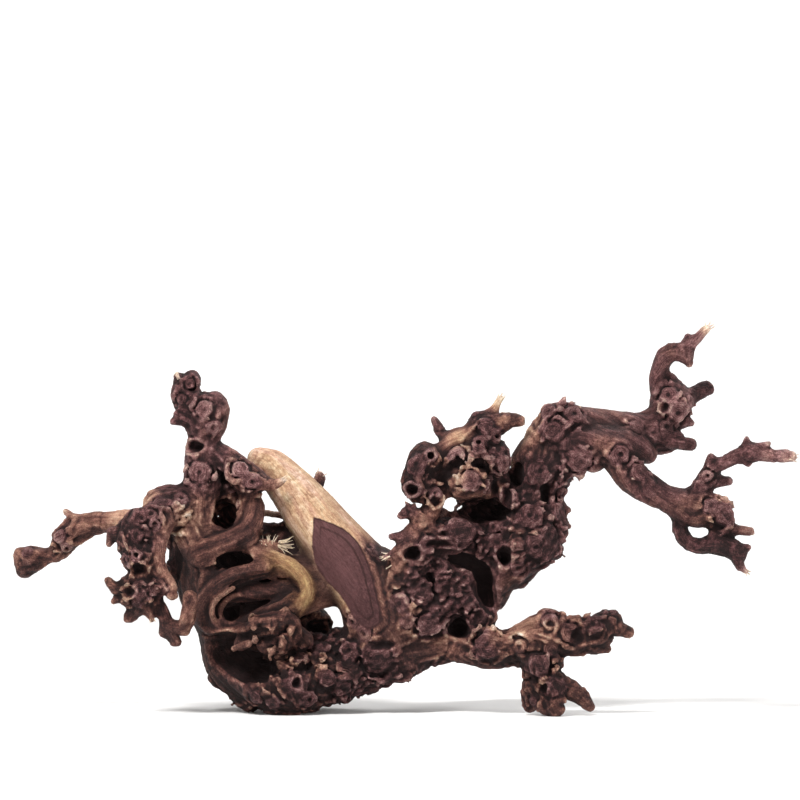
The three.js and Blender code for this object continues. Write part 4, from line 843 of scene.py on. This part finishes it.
def scar_edge(points):
    """How far outside the leaf-shaped scar on the front of the trunk each point is, negative inside."""
    outline = spline([[x, 0, z, 0] for x, z in SCAR_OUTLINE + SCAR_OUTLINE[:1]])[:, [0, 2]]
    low, high = outline.min(0) - 14, outline.max(0) + 14
    result = np.full(len(points), 30, np.float32)
    some = np.nonzero((points[:, 0] > low[0]) & (points[:, 0] < high[0]) & (points[:, 1] < 4)
                      & (points[:, 2] > low[1]) & (points[:, 2] < high[1]))[0]
    p = points[some][:, [0, 2]]
    nearest = np.full(len(p), 1e6)
    inside = np.zeros(len(p), bool)
    for a, b in zip(outline[:-1], outline[1:]):
        along = b - a
        t = np.clip((p - a).dot(along) / along.dot(along), 0, 1)
        nearest = np.minimum(nearest, ((p - a - t[:, None] * along) ** 2).sum(1))
        if a[1] != b[1]:
            crosses = (a[1] > p[:, 1]) != (b[1] > p[:, 1])
            inside ^= crosses & (p[:, 0] < (b[0] - a[0]) * (p[:, 1] - a[1]) / (b[1] - a[1]) + a[0])
    result[some] = np.where(inside, -1, 1) * np.sqrt(nearest)
    return result


def right_of_scar(points):
    """1 on the right side of the scar, where wood has folded round it, and 0 on its left side."""
    return smoothstep(-6, 6, points[:, 0] + 42 + 0.5 * (points[:, 2] - 96))


def warp_of(points, seed, size):
    return np.stack([Noise(seed + n)(points / size) for n in range(3)], axis=1)


def lumps_of(points):
    """The shapes of burled wood: swells with growth rings, ridges, nodules, winding grooves and pits."""
    swell = figure_of(points)
    relief = SWELL_HEIGHT * swell + FIGURE_HEIGHT * np.cos(swell * FIGURE_RINGS * 2 * math.pi)
    relief += RIDGE_HEIGHT * (1 - 2 * np.abs(Noise(35)(points / 7.5 + 0.6 * swell[:, None])))
    warp = warp_of(points, 51, 16)
    near, second, _ = cells(points + 6 * warp, NODULE_SIZE, 9)
    seam = smoothstep(0.09, 0.0, (second - near) / NODULE_SIZE)
    relief += NODULE_HEIGHT * (0.4 - 1.2 * (near / NODULE_SIZE)**2 - 0.6 * seam)
    winding = np.abs(Noise(33)((points + 5 * warp) / 13))
    grooved = smoothstep(-0.3, 0.3, Noise(34)(points / 24))
    relief -= GROOVE_DEPTH * grooved * smoothstep(0.15, 0.02, winding)
    relief -= FINE_GROOVE_DEPTH * smoothstep(0.2, 0.0, np.abs(Noise(38)((points + 3 * warp) / 7)))
    near, _, name = cells(points, PIT_SPACING, 6)
    relief -= PIT_DEPTH * (name < PITTED) * np.exp(-(near / PIT_WIDTH)**2)
    return relief


def furrows_of(grain):
    """Ridges and furrows that run along the fibres."""
    furrows = 0.62 * Noise(21)(grain / FURROWS)
    furrows += 0.45 * Noise(22)(grain / FINE_FURROWS)
    return furrows + 0.6 - 2 * np.abs(Noise(26)(grain / WIDE_FURROWS))


def rings_of(points, share, across):
    """The growth rings of the knots, the moat round each and the eye in its middle."""
    uneven = smoothstep(-0.6, 0.5, Noise(36)(points / 7))
    on_knot = smoothstep(1.15, 0.8, share)
    relief = RING_HEIGHT * on_knot * uneven * np.cos(across * 2 * math.pi / RING_SPACING)
    relief -= MOAT_DEPTH * np.exp(-((share - 0.92) / 0.13)**2) * uneven
    relief -= EYE_DEPTH * np.exp(-(across / 1.5)**2) * smoothstep(-0.2, 0.3, Noise(37)(points / 12))
    return relief


def scar_relief(points, edge):
    """The step down into the scar, and the ridge and two furrows of the wood folded round its right side."""
    right = right_of_scar(points) * smoothstep(124, 108, points[:, 2])
    relief = right * (0.5 * np.exp(-((edge - 2.0) / 1.4)**2) - 0.6 * np.exp(-((edge - 5.0) / 0.9)**2))
    relief -= right * 0.4 * np.exp(-((edge - 9.5) / 1.0)**2)
    return relief - SCAR_DEPTH * smoothstep(0.6, -0.6, edge)


def add_relief(field, limbs, knots):
    """The surface's own shapes, raised and sunk in a thin band round it."""
    band = np.nonzero(np.abs(field.wood) < RELIEF_BAND)
    points = np.stack([field.low[n] + STEP * band[n] for n in range(3)], axis=1).astype(np.float32)
    which = np.maximum(field.piece[band], 0)
    grain = limbs.local(points, which)
    shift, share, across = near_knots(points, limbs.side[which], limbs.up[which], knots)
    grain[:, 1:] += shift
    known = np.maximum(box_blur((field.piece >= 0).astype(np.float32), 3), 1e-3)

    def blurred(values):
        """The values of the limbs at the points, blurred where two limbs meet."""
        here = np.where(field.piece >= 0, values[np.maximum(field.piece, 0)], 0).astype(np.float32)
        return (box_blur(here, 3) / known)[band]

    burled, bare = blurred(limbs.burled), blurred(limbs.bare)
    for x, y, z, radius in SMOOTH_PATCHES:
        burled = burled * (1 - 0.85 * smoothstep(1.2, 0.7, patch_share(points, x, y, z, radius)))

    relief = burled * lumps_of(points)
    relief += furrows_of(grain) * lerp(1.0, 0.1, np.clip(bare * 1.25, 0, 1)) * lerp(1.15, 0.95, burled)
    relief += ROUGHNESS * Noise(23)(points / 3.1) * (0.25 + 0.75 * burled)
    torn = Noise(61)
    for x, y, z, radius in RUGGED_PATCHES:
        rugged = smoothstep(1.2, 0.7, patch_share(points, x, y, z, radius))
        some = np.nonzero(rugged)[0]
        relief[some] += SHRED_HEIGHT * rugged[some] * (0.5 - 2 * np.abs(torn(grain[some] / SHREDS)))
    relief *= 0.25 + 0.75 * smoothstep(1.0, 11, limbs.start[which, 3])
    relief *= 0.35 + 0.65 * smoothstep(0.9, 1.12, bowl_share(points))
    relief *= 1 - 0.6 * smoothstep(1.15, 0.8, share)
    relief += rings_of(points, share, across)
    edge = scar_edge(points)
    field.wood[band] -= np.where(edge < 0, relief * 0.15, relief) + scar_relief(points, edge)


def figure_of(points):
    """The swells of burled wood, from about -1.2 to 1.2; its growth rings run round them."""
    warped = points + 5.0 * warp_of(points, 11, 15)
    return Noise(31)(warped / 19) * 1.1 + 0.4 * Noise(32)(warped / 8.5)


def largest_part(points, quads):
    """Only the vertices and quads of the largest connected part."""
    label = np.arange(len(points))
    edges = np.concatenate([quads[:, [0, 1]], quads[:, [1, 2]], quads[:, [2, 3]], quads[:, [3, 0]]])
    while True:
        least = np.minimum(label[edges[:, 0]], label[edges[:, 1]])
        new = label.copy()
        np.minimum.at(new, edges[:, 0], least)
        np.minimum.at(new, edges[:, 1], least)
        new = new[new]
        if (new == label).all():
            break
        label = new
    names, counts = np.unique(label, return_counts=True)
    keep = label == names[counts.argmax()]
    number = np.cumsum(keep) - 1
    return points[keep], number[quads[keep[quads[:, 0]]]]


def draw_mesh(field):
    """A mesh round the wood, in metres in the part's frame, thinned out."""
    z = field.low[2] + STEP * np.arange(field.shape[2], dtype=np.float32)
    field.wood = np.maximum(field.wood, -z[None, None, :])
    grid = openvdb.FloatGrid(3.0)
    grid.copyFromArray(np.clip(field.wood / STEP, -3, 3).astype(np.float32))
    points, quads = grid.convertToQuads(isovalue=0.0)
    points = field.low + points * STEP
    points[:, 2] = np.where(points[:, 2] < 0.25, 0.0, points[:, 2])
    points, quads = largest_part(points, quads.astype(np.int64))
    mesh = bpy.data.meshes.new("raw")
    mesh.from_pydata(((points - MIDDLE) * MM).tolist(), [], quads[:, ::-1].tolist())
    raw = bpy.data.objects.new("raw", mesh)
    bpy.context.scene.collection.objects.link(raw)
    thin = raw.modifiers.new("thin", "DECIMATE")
    thin.ratio = min(1.0, MOST_TRIANGLES / (2 * len(quads)))
    thin.use_collapse_triangulate = True
    made = bpy.data.meshes.new_from_object(raw.evaluated_get(bpy.context.evaluated_depsgraph_get()))
    bpy.data.objects.remove(raw)
    bpy.data.meshes.remove(mesh)
    made.name = "root_wood"
    return made


def nearest_limbs(points, limbs):
    """The piece of limb nearest to each point, and how bare and how burled the limbs round the point are."""
    count = len(points)
    nearest = np.zeros(count, int)
    bare = np.zeros(count)
    burled = np.zeros(count)
    start, along = limbs.start[:, :3], limbs.end[:, :3] - limbs.start[:, :3]
    for first in range(0, count, POINTS_AT_ONCE):
        here = slice(first, first + POINTS_AT_ONCE)
        offset = points[here][:, None] - start[None]
        t = np.clip((offset * along).sum(2) / (along * along).sum(1), 0, 1)
        distance = np.sqrt(((offset - t[..., None] * along) ** 2).sum(2))
        distance -= lerp(limbs.start[:, 3], limbs.end[:, 3], t)
        nearest[here] = distance.argmin(1)
        weight = np.exp(-(distance - distance.min(1, keepdims=True)) / 2.2)
        weight /= weight.sum(1, keepdims=True)
        bare[here] = (weight * limbs.bare).sum(1)
        burled[here] = (weight * limbs.burled).sum(1)
    return nearest, bare, burled


def bareness(points, bare):
    """How bare the wood is: as its limbs are, browned at the foot of the trunk, barer in the patches."""
    x, z = points[:, 0], points[:, 2]
    browned = np.maximum(smoothstep(-38, -22, x) * smoothstep(124, 106, z), smoothstep(74, 60, z))
    bare = np.where(bare > 0.5, bare * (1 - 0.72 * browned * smoothstep(-75, -60, x)), bare)
    for x, y, z, radius, strength in BARE_PATCHES:
        bare = np.maximum(bare, strength * smoothstep(1.5, 0.2, patch_share(points, x, y, z, radius)))
    return bare * smoothstep(0.85, 1.1, bowl_share(points))


def warmth_of(points):
    """Above 0 on the belly's left and the foot, which are reddish, and below 0 where the wood is mauve."""
    x, z = points[:, 0], points[:, 2]
    belly = smoothstep(-30, -62, x) * smoothstep(112, 84, z)
    foot = smoothstep(48, 64, x) * smoothstep(70, 62, z)
    arms = smoothstep(94, 108, x) * smoothstep(120, 150, z)
    tower = smoothstep(-112, -122, x) * smoothstep(140, 156, z)
    return np.maximum(belly, foot) - 1.1 * np.maximum(arms, tower)


def hollowness(points, normals, field):
    """How far each point lies in a crease and how deep in a hollow, from how much wood is round it; the
    material paints shade and highlights from these.
    """
    solid = np.clip(0.5 - field.wood / (2 * STEP), 0, 1)
    small, large, widest = (box_blur(solid, max(1, round(reach / STEP))) for reach in (2.6, 9, 17))
    crease = (sample(small, field.low, points + normals * 0.6) - 0.42) * 2
    deep = (sample(large, field.low, points + normals * 3) - 0.38) * 2
    deepest = (sample(widest, field.low, points + normals * 8) - 0.42) * 1.9
    return crease, np.maximum(deep, deepest)


def set_attributes(mesh, floats, grain):
    for name, values in floats.items():
        made = mesh.attributes.new(name, "FLOAT", "POINT")
        made.data.foreach_set("value", values.astype(np.float32))
    mesh.attributes.new("grain", "FLOAT_VECTOR", "POINT").data.foreach_set("vector", grain.ravel())


def add_attributes(mesh, field, limbs, knots):
    """What the material reads at each vertex."""
    count = len(mesh.vertices)
    points = np.empty(count * 3, np.float32)
    mesh.vertices.foreach_get("co", points)
    points = (points.reshape(-1, 3) / MM + MIDDLE).astype(np.float32)
    normals = np.empty(count * 3, np.float32)
    mesh.vertex_normals.foreach_get("vector", normals)

    nearest, bare, burled = nearest_limbs(points, limbs)
    crease, deep = hollowness(points, normals.reshape(-1, 3), field)
    shift, share, across = near_knots(points, limbs.side[nearest], limbs.up[nearest], knots)
    olive = np.zeros(count)
    for x, y, z, radius in OLIVE_PATCHES:
        olive = np.maximum(olive, smoothstep(1.5, 0.5, patch_share(points, x, y, z, radius)))
    grain = limbs.local(points, nearest).astype(np.float32)
    grain[:, 1:] += shift
    set_attributes(mesh, {
        "bare": bareness(points, bare), "warm": warmth_of(points), "olive": olive, "burled": burled,
        "crease": crease, "deep": deep, "knot": share, "across": across, "figure": figure_of(points),
        "scar": scar_edge(points), "scar_side": right_of_scar(points),
    }, grain)


# Broken ends: x, y, z, the way the fibres point, how many, their length and how far they spread
FRAYED_ENDS = [
    [-257, 30, 103.5, (-1.0, 0.1, 0.15), 9, 6.5, 0.35],
    [203, 4, 256, (0.6, -0.1, 0.8), 10, 5.5, 0.3],
    [255, -40, 170.5, (1.0, -0.15, -0.05), 10, 5.5, 0.4],
    [64.5, -14, 209, (0.5, 0.0, 0.85), 6, 4.5, 0.35],
    [78, -14, 195, (1.0, 0.0, 0.15), 5, 4.5, 0.35],
    [-4, -30, 99, (-0.3, 0.0, -1.0), 9, 5.5, 0.5],
    [-11, -32, 104.5, (-1.0, 0.0, -0.4), 6, 4.5, 0.4],
    [-94, -17, 111, (-0.3, -0.5, 0.5), 24, 5.5, 1.3],
    [-88, -17, 113, (-0.1, -0.5, 0.8), 14, 5, 1.3],
    [-80, -15, 111.5, (0.9, -0.4, -0.15), 12, 9, 0.6],
    [-80, -18, 154.5, (1.0, -0.2, 0.4), 5, 4.5, 0.3],
    [227, -24, 95, (0.8, -0.1, -0.5), 5, 4, 0.35],
    [230, -20, 121, (1.0, 0.0, -0.1), 4, 3.5, 0.3],
    [-150.5, -4, 224, (-0.5, 0.0, 0.9), 4, 3.5, 0.3],
    [-57, 45, 157, (0.4, 0.0, 0.9), 7, 5, 0.4],
    [81, 82, 142, (0.5, 1.0, 0.3), 8, 5.5, 0.4],
    [43, 87, 59, (0.3, 0.9, -0.6), 7, 5, 0.4],
    [-131, 78, 79, (0.1, 0.9, -0.7), 7, 5, 0.4],
    [-119, 45, 165, (0.1, 1.0, 0.2), 6, 4.5, 0.4],
    [-165.5, -34, 63.5, (0.2, 0.0, -1.0), 4, 3.5, 0.3],
    [148.5, -33, 54.5, (1.0, 0.0, -0.2), 6, 4, 0.45],
]

# What the material reads all over the splinters
SPLINTER_LOOKS = {
    "bare": 0.8, "warm": 0.0, "olive": 0.0, "burled": 0.0, "crease": -0.1, "deep": 0.0, "knot": 4.0,
    "across": 40.0, "figure": 0.0, "scar": 30.0, "scar_side": 0.0,
}
SPLINTER_SIDES = 5
SPLINTER_RINGS = 4


def make_splinters():
    """Thin fibres of bare wood that stand out of the broken ends."""
    random = Random(77)
    points, faces = [], []
    sides, last = SPLINTER_SIDES, SPLINTER_RINGS - 1
    for x, y, z, toward, count, length, spread in FRAYED_ENDS:
        toward = Vector(toward).normalized()
        across = toward.cross(Vector((0.3, 0.5, -0.8))).normalized()
        up = toward.cross(across)
        for _ in range(count):
            angle, out = random() * 2 * math.pi, random() ** 0.5
            aside = across * math.cos(angle) + up * math.sin(angle)
            root = Vector((x, y, z)) + aside * (out * min(2.6, length * 0.35)) - toward * 2.5
            way = (toward + aside * spread * (0.3 + out) * random()).normalized()
            bend = aside * (random() - 0.3) + across * (random() - 0.5) + up * (random() - 0.5)
            thick = 0.4 + 0.5 * random()
            tall = 2.5 + length * (0.45 + 0.55 * random())
            first = len(points)
            for ring in range(SPLINTER_RINGS):
                t = ring / last
                middle = root + way * (tall * t) + bend * (tall * 0.35 * t * t)
                radius = thick * (1 - 0.8 * t)
                for side in range(sides):
                    turn = side * 2 * math.pi / sides
                    flat = across * math.cos(turn) * radius * 1.5 + up * math.sin(turn) * radius
                    points.append(middle + flat)
            for ring in range(last):
                for side in range(sides):
                    a, b = first + ring * sides + side, first + ring * sides + (side + 1) % sides
                    faces.append((a, b, b + sides, a + sides))
            faces.append(tuple(first + side for side in reversed(range(sides))))
            faces.append(tuple(first + last * sides + side for side in range(sides)))
    mesh = bpy.data.meshes.new("splinters")
    mesh.from_pydata([((np.array(p) - MIDDLE) * MM).tolist() for p in points], [], faces)
    grain = np.array([[p[0] + p[2], p[1], p[2] - p[0]] for p in points], np.float32)
    looks = {name: np.full(len(points), value) for name, value in SPLINTER_LOOKS.items()}
    set_attributes(mesh, looks, grain)
    return mesh


class Shader:
    """A material's node tree, built a node at a time."""

    def __init__(self, name):
        self.material = bpy.data.materials.new(name)
        self.material.use_nodes = True
        self.tree = self.material.node_tree
        self.tree.nodes.clear()

    def add(self, kind, inputs=None, output=0, **settings):
        made = self.tree.nodes.new(kind)
        for key, value in settings.items():
            setattr(made, key, value)
        for key, value in (inputs or {}).items():
            if isinstance(value, bpy.types.NodeSocket):
                self.tree.links.new(value, made.inputs[key])
            else:
                made.inputs[key].default_value = value
        return made.outputs[output]

    def math(self, operation, a, b=0.0, c=0.0):
        return self.add("ShaderNodeMath", {0: a, 1: b, 2: c}, operation=operation)

    def weighted(self, terms, start=0.0):
        """The sum of each value times its weight."""
        total = start
        for value, weight in terms:
            total = self.math("MULTIPLY_ADD", value, weight, total)
        return total

    def step(self, value, low, high):
        return self.add("ShaderNodeMapRange", {"Value": value, "From Min": low, "From Max": high},
                        interpolation_type="SMOOTHSTEP")

    def mix(self, factor, a, b):
        made = self.tree.nodes.new("ShaderNodeMix")
        made.data_type = "RGBA"
        for socket, value in ((made.inputs[0], factor), (made.inputs[6], a), (made.inputs[7], b)):
            if isinstance(value, bpy.types.NodeSocket):
                self.tree.links.new(value, socket)
            else:
                socket.default_value = value
        return made.outputs[2]

    def multiply(self, factor, a, b):
        made = self.mix(factor, a, b)
        made.node.blend_type = "MULTIPLY"
        return made

    def ramp(self, value, stops):
        made = self.tree.nodes.new("ShaderNodeValToRGB")
        self.tree.links.new(value, made.inputs["Fac"])
        elements = made.color_ramp.elements
        while len(elements) < len(stops):
            elements.new(0.5)
        for element, (place, colour) in zip(elements, stops):
            element.position = place
        for element, (place, colour) in zip(elements, stops):
            element.color = (*colour, 1)
        return made.outputs["Color"]

    def attribute(self, name, vector=False):
        return self.add("ShaderNodeAttribute", output=1 if vector else 2, attribute_name=name)

    def noise(self, vector, scale, detail=2.0, roughness=0.55, distortion=0.0):
        return self.add("ShaderNodeTexNoise", {"Vector": vector, "Scale": scale, "Detail": detail,
                                               "Roughness": roughness, "Distortion": distortion})

    def stretched(self, vector, stretch):
        return self.add("ShaderNodeVectorMath", {0: vector, 1: stretch}, operation="MULTIPLY")


# Colours of the wood from its darkest, weathered bark to its palest, bare wood, with the tone moved down by
# painted shade in creases and up by painted highlights on edges: where it is mauve, as on the burls, and
# where it is warmer, as on the limbs
MAUVE_WOOD = [(0.0, (0.020, 0.006, 0.006)), (0.2, (0.096, 0.036, 0.037)), (0.36, (0.198, 0.086, 0.084)),
              (0.52, (0.34, 0.18, 0.172)), (0.7, (0.50, 0.31, 0.27)), (0.86, (0.70, 0.49, 0.39)),
              (1.0, (0.84, 0.67, 0.55))]
WARM_WOOD = [(0.0, (0.022, 0.008, 0.007)), (0.2, (0.098, 0.037, 0.030)), (0.36, (0.215, 0.092, 0.068)),
             (0.52, (0.37, 0.19, 0.135)), (0.7, (0.57, 0.36, 0.25)), (0.86, (0.72, 0.545, 0.43)),
             (1.0, (0.84, 0.70, 0.59))]
OLIVE_WOOD = (0.86, 0.91, 0.62, 1)
OLIVE_TINT = (0.97, 0.96, 0.80, 1)
PINK_TINT = (1.0, 0.95, 0.93, 1)
HAIRLINE_TINT = (0.50, 0.40, 0.36, 1)
SCAR_DARK = (0.045, 0.016, 0.015, 1)
SCAR = (0.113, 0.045, 0.046, 1)
# Near black: the cracks in the bark, and the painted shade in creases and hollows
CRACK_AND_PAINTED_SHADE = (0.011, 0.005, 0.005, 1)


def wood_material():
    """Weathered wood: streaks and fibres along the grain, rings round the knots and wrinkles on the burls,
    painted shade in creases and hollows, painted highlights on edges, and the smooth scar on the trunk."""
    s = Shader("dry_wood")
    bare, warm, burled = s.attribute("bare"), s.attribute("warm"), s.attribute("burled")
    crease, deep = s.attribute("crease"), s.attribute("deep")
    knot, across, figure = s.attribute("knot"), s.attribute("across"), s.attribute("figure")
    scar, scar_side = s.attribute("scar"), s.attribute("scar_side")
    grain = s.attribute("grain", vector=True)
    place = s.add("ShaderNodeTexCoord", output=3)
    streak = s.noise(s.stretched(grain, (0.035, 0.42, 0.42)), 1.0, 4.0)
    fibre = s.noise(s.stretched(grain, (0.07, 1.7, 1.7)), 1.0, 3.0, 0.6)
    patch = s.noise(place, 24.0, 3.0)
    mottle = s.noise(place, 170.0, 5.0, 0.62)
    speck = s.noise(place, 900.0, 3.0, 0.6)
    on_knot = s.step(knot, 1.12, 0.95)
    wrinkle = s.math("ABSOLUTE", s.math("SUBTRACT", s.noise(place, 330.0, 4.0, 0.6, 1.2), 0.5))

    # Painted highlight and painted shade: the tone is raised on convex edges, up to a limit, and lowered in
    # creases
    edge_highlight_and_crease_shade = s.math("MINIMUM", s.math("MULTIPLY", crease, -1.0), 0.17)
    figured = s.math("SINE", s.weighted([(figure, 2 * FIGURE_RINGS * 2 * math.pi), (mottle, 5.0)]))
    figured = s.math("MULTIPLY", figured, burled)
    ringed = s.math("SINE", s.weighted([(across, 2 * math.pi / (RING_SPACING / 2)), (mottle, 6.0)]))
    ringed = s.math("MULTIPLY", ringed, on_knot)
    tone = s.weighted([(streak, 0.6), (mottle, 0.5), (patch, 0.35), (speck, 0.4), (fibre, 0.42),
                       (edge_highlight_and_crease_shade, 0.95), (figured, 0.03), (ringed, 0.06), (bare, 0.68)], -0.745)
    warmth = s.weighted([(patch, 1.6), (burled, -0.45), (on_knot, -0.5), (bare, 0.8), (warm, 0.42)], -0.15)
    wood = s.mix(s.step(warmth, 0.1, 0.7), s.ramp(tone, MAUVE_WOOD), s.ramp(tone, WARM_WOOD))

    tint = s.noise(s.stretched(grain, (0.012, 0.09, 0.09)), 1.0, 2.0)
    tinted = s.mix(s.step(tint, 0.4, 0.62), OLIVE_TINT, PINK_TINT)
    wood = s.multiply(s.step(bare, 0.45, 0.85), wood, tinted)
    wood = s.multiply(s.attribute("olive"), wood, OLIVE_WOOD)
    hairline = s.noise(s.stretched(grain, (0.03, 0.62, 0.62)), 1.0, 3.0, 0.6, 0.4)
    hairline = s.step(s.math("ABSOLUTE", s.math("SUBTRACT", hairline, 0.5)), 0.035, 0.0)
    wood = s.multiply(s.math("MULTIPLY", hairline, s.weighted([(bare, -0.35)], 0.85)), wood, HAIRLINE_TINT)

    lines = s.math("SINE", s.weighted([(scar, 1.35), (mottle, 1.5), (patch, 3.0)]))
    lines = s.math("MULTIPLY", s.step(lines, 0.35, 0.95), s.weighted([(scar_side, 0.6)], 0.06))
    lines = s.math("MULTIPLY", lines, s.step(scar, -12.0, -3.0))
    heart = s.weighted([(fibre, 0.9), (mottle, 0.5), (speck, 0.5), (lines, -0.9)], -0.35)
    heart = s.mix(s.step(heart, 0.1, 0.9), SCAR_DARK, SCAR)
    wood = s.mix(s.step(s.weighted([(mottle, 1.6)], s.math("ADD", scar, -0.8)), 0.5, -0.5), wood, heart)

    crack = s.math("MULTIPLY", s.step(wrinkle, 0.06, 0.0), s.weighted([(bare, -0.6)], 0.7))
    wood = s.mix(crack, wood, CRACK_AND_PAINTED_SHADE)
    # Painted shade: the wood goes towards near black in creases and deep hollows, much less on the scar
    shade = s.math("MAXIMUM", s.step(crease, 0.25, 0.75), s.step(deep, 0.4, 0.85))
    in_scar = s.step(scar, 1.0, -1.0)
    wood = s.mix(s.math("MULTIPLY", shade, s.weighted([(in_scar, -0.7)], 0.85)), wood, CRACK_AND_PAINTED_SHADE)

    rough = s.weighted([(crease, 0.2), (fibre, 0.16), (bare, -0.04)], 0.52)
    coarse = s.weighted([(bare, -0.85)], 1.0)
    lumps = s.weighted([(mottle, 0.8), (speck, 0.6), (figured, 0.12), (ringed, 0.3),
                        (s.math("MINIMUM", wrinkle, 0.08), 9.0)])
    height = s.weighted([(fibre, 1.1), (hairline, -0.25), (s.math("MULTIPLY", lumps, coarse), 1.0)])
    bump = s.add("ShaderNodeBump", {"Height": height, "Strength": 0.9, "Distance": 0.001})
    surface = s.add("ShaderNodeBsdfPrincipled", {"Base Color": wood, "Roughness": rough, "Normal": bump,
                                                 "Specular IOR Level": 0.22})
    out = s.tree.nodes.new("ShaderNodeOutputMaterial")
    s.tree.links.new(surface, out.inputs["Surface"])
    return s.material


def add_piece(name, mesh, material):
    piece = bpy.data.objects.new(name, mesh)
    bpy.context.scene.collection.objects.link(piece)
    mesh.materials.append(material)
    mesh.polygons.foreach_set("use_smooth", [True] * len(mesh.polygons))
    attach(piece, "root")
    return piece


def add_floor():
    """A pale floor, level round the root, that sweeps up on every side into a backdrop."""
    level, bend, top = 3.3, 1.6, 2.4  # in metres
    rings, turns, sides = 4, 12, 64
    profile = [(level * (n + 1) / rings, 0.0) for n in range(rings)]
    for n in range(turns):
        angle = math.pi / 2 * (n + 1) / turns
        profile.append((level + bend * math.sin(angle), bend * (1 - math.cos(angle))))
    profile.append((level + bend, top))
    points = [(0.0, 0.0, 0.0)]
    for radius, z in profile:
        points += [(radius * math.cos(a), radius * math.sin(a), z)
                   for a in np.linspace(0, 2 * math.pi, sides, endpoint=False)]
    faces = [(0, 1 + n, 1 + (n + 1) % sides) for n in range(sides)]
    for ring in range(len(profile) - 1):
        first = 1 + ring * sides
        for n in range(sides):
            after = (n + 1) % sides
            faces.append((first + n, first + sides + n, first + sides + after, first + after))
    mesh = bpy.data.meshes.new("floor")
    mesh.from_pydata(points, [], faces)
    mesh.polygons.foreach_set("use_smooth", [True] * len(faces))
    floor = bpy.data.objects.new("floor", mesh)
    bpy.context.scene.collection.objects.link(floor)
    s = Shader("pale_floor")
    place = s.add("ShaderNodeTexCoord", output=3)
    colour = s.mix(s.noise(place, 60.0, 3.0), (0.78, 0.77, 0.76, 1), (0.82, 0.81, 0.80, 1))
    x, y, _ = s.add("ShaderNodeSeparateXYZ", {0: place}).node.outputs
    away = s.math("SQRT", s.math("ADD", s.math("MULTIPLY", x, x), s.math("MULTIPLY", y, y)))
    glow = s.math("MULTIPLY", s.step(away, 1.2, 3.2), 0.55)
    surface = s.add("ShaderNodeBsdfPrincipled", {"Base Color": colour, "Roughness": 0.8,
                                                 "Emission Color": (1, 1, 1, 1), "Emission Strength": glow})
    out = s.tree.nodes.new("ShaderNodeOutputMaterial")
    s.tree.links.new(surface, out.inputs["Surface"])
    mesh.materials.append(s.material)


# The name, place, width and power of each light, in metres and watts, and what they all point at
LIGHTS = [
    ("key", (-0.9, -1.6, 2.4), 0.8, 122),
    ("fill", (2.0, -1.8, 1.0), 1.4, 16),
    ("back", (0.6, 1.1, 1.9), 1.2, 30),
]
LIT = Vector((0, 0, 0.11))
WORLD_STRENGTH = 0.16


def add_light(name, place, size, power):
    data = bpy.data.lights.new(name, "AREA")
    data.size = size
    data.energy = power
    light = bpy.data.objects.new(name, data)
    light.location = place
    light.rotation_euler = (LIT - Vector(place)).to_track_quat("-Z", "Y").to_euler()
    bpy.context.scene.collection.objects.link(light)


def add_world():
    world = bpy.data.worlds.new("studio")
    world.use_nodes = True
    background = world.node_tree.nodes["Background"]
    background.inputs["Color"].default_value = (1, 1, 1, 1)
    background.inputs["Strength"].default_value = WORLD_STRENGTH
    bpy.context.scene.world = world


def add_camera():
    """Level with the middle of the picture, 3 m in front of the root."""
    distance, height = 3.0, 0.208
    middle = -2.0  # of the picture across, in the drawing's millimetres
    seen = 0.5333  # the width of the picture at the root
    data = bpy.data.cameras.new("camera")
    data.sensor_width = 36.0
    data.lens = data.sensor_width * distance / seen
    camera = bpy.data.objects.new("camera", data)
    camera.location = ((middle - MIDDLE[0]) * MM, -distance - MIDDLE[1] * MM, height)
    camera.rotation_euler = (math.pi / 2, 0, 0)
    bpy.context.scene.collection.objects.link(camera)
    bpy.context.scene.camera = camera


field, limbs, knots = draw_wood()
add_relief(field, limbs, knots)
carve_hollows(field)
wood_mesh = draw_mesh(field)
add_attributes(wood_mesh, field, limbs, knots)
material = wood_material()
root = add_piece("root_wood", wood_mesh, material)
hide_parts("root")
add_piece("splinters", make_splinters(), material)
print("triangles", sum(len(p.vertices) - 2 for p in wood_mesh.polygons))

add_floor()
for name, place, size, power in LIGHTS:
    add_light(name, place, size, power)
add_world()
bpy.context.scene.view_settings.view_transform = "Standard"
add_camera()
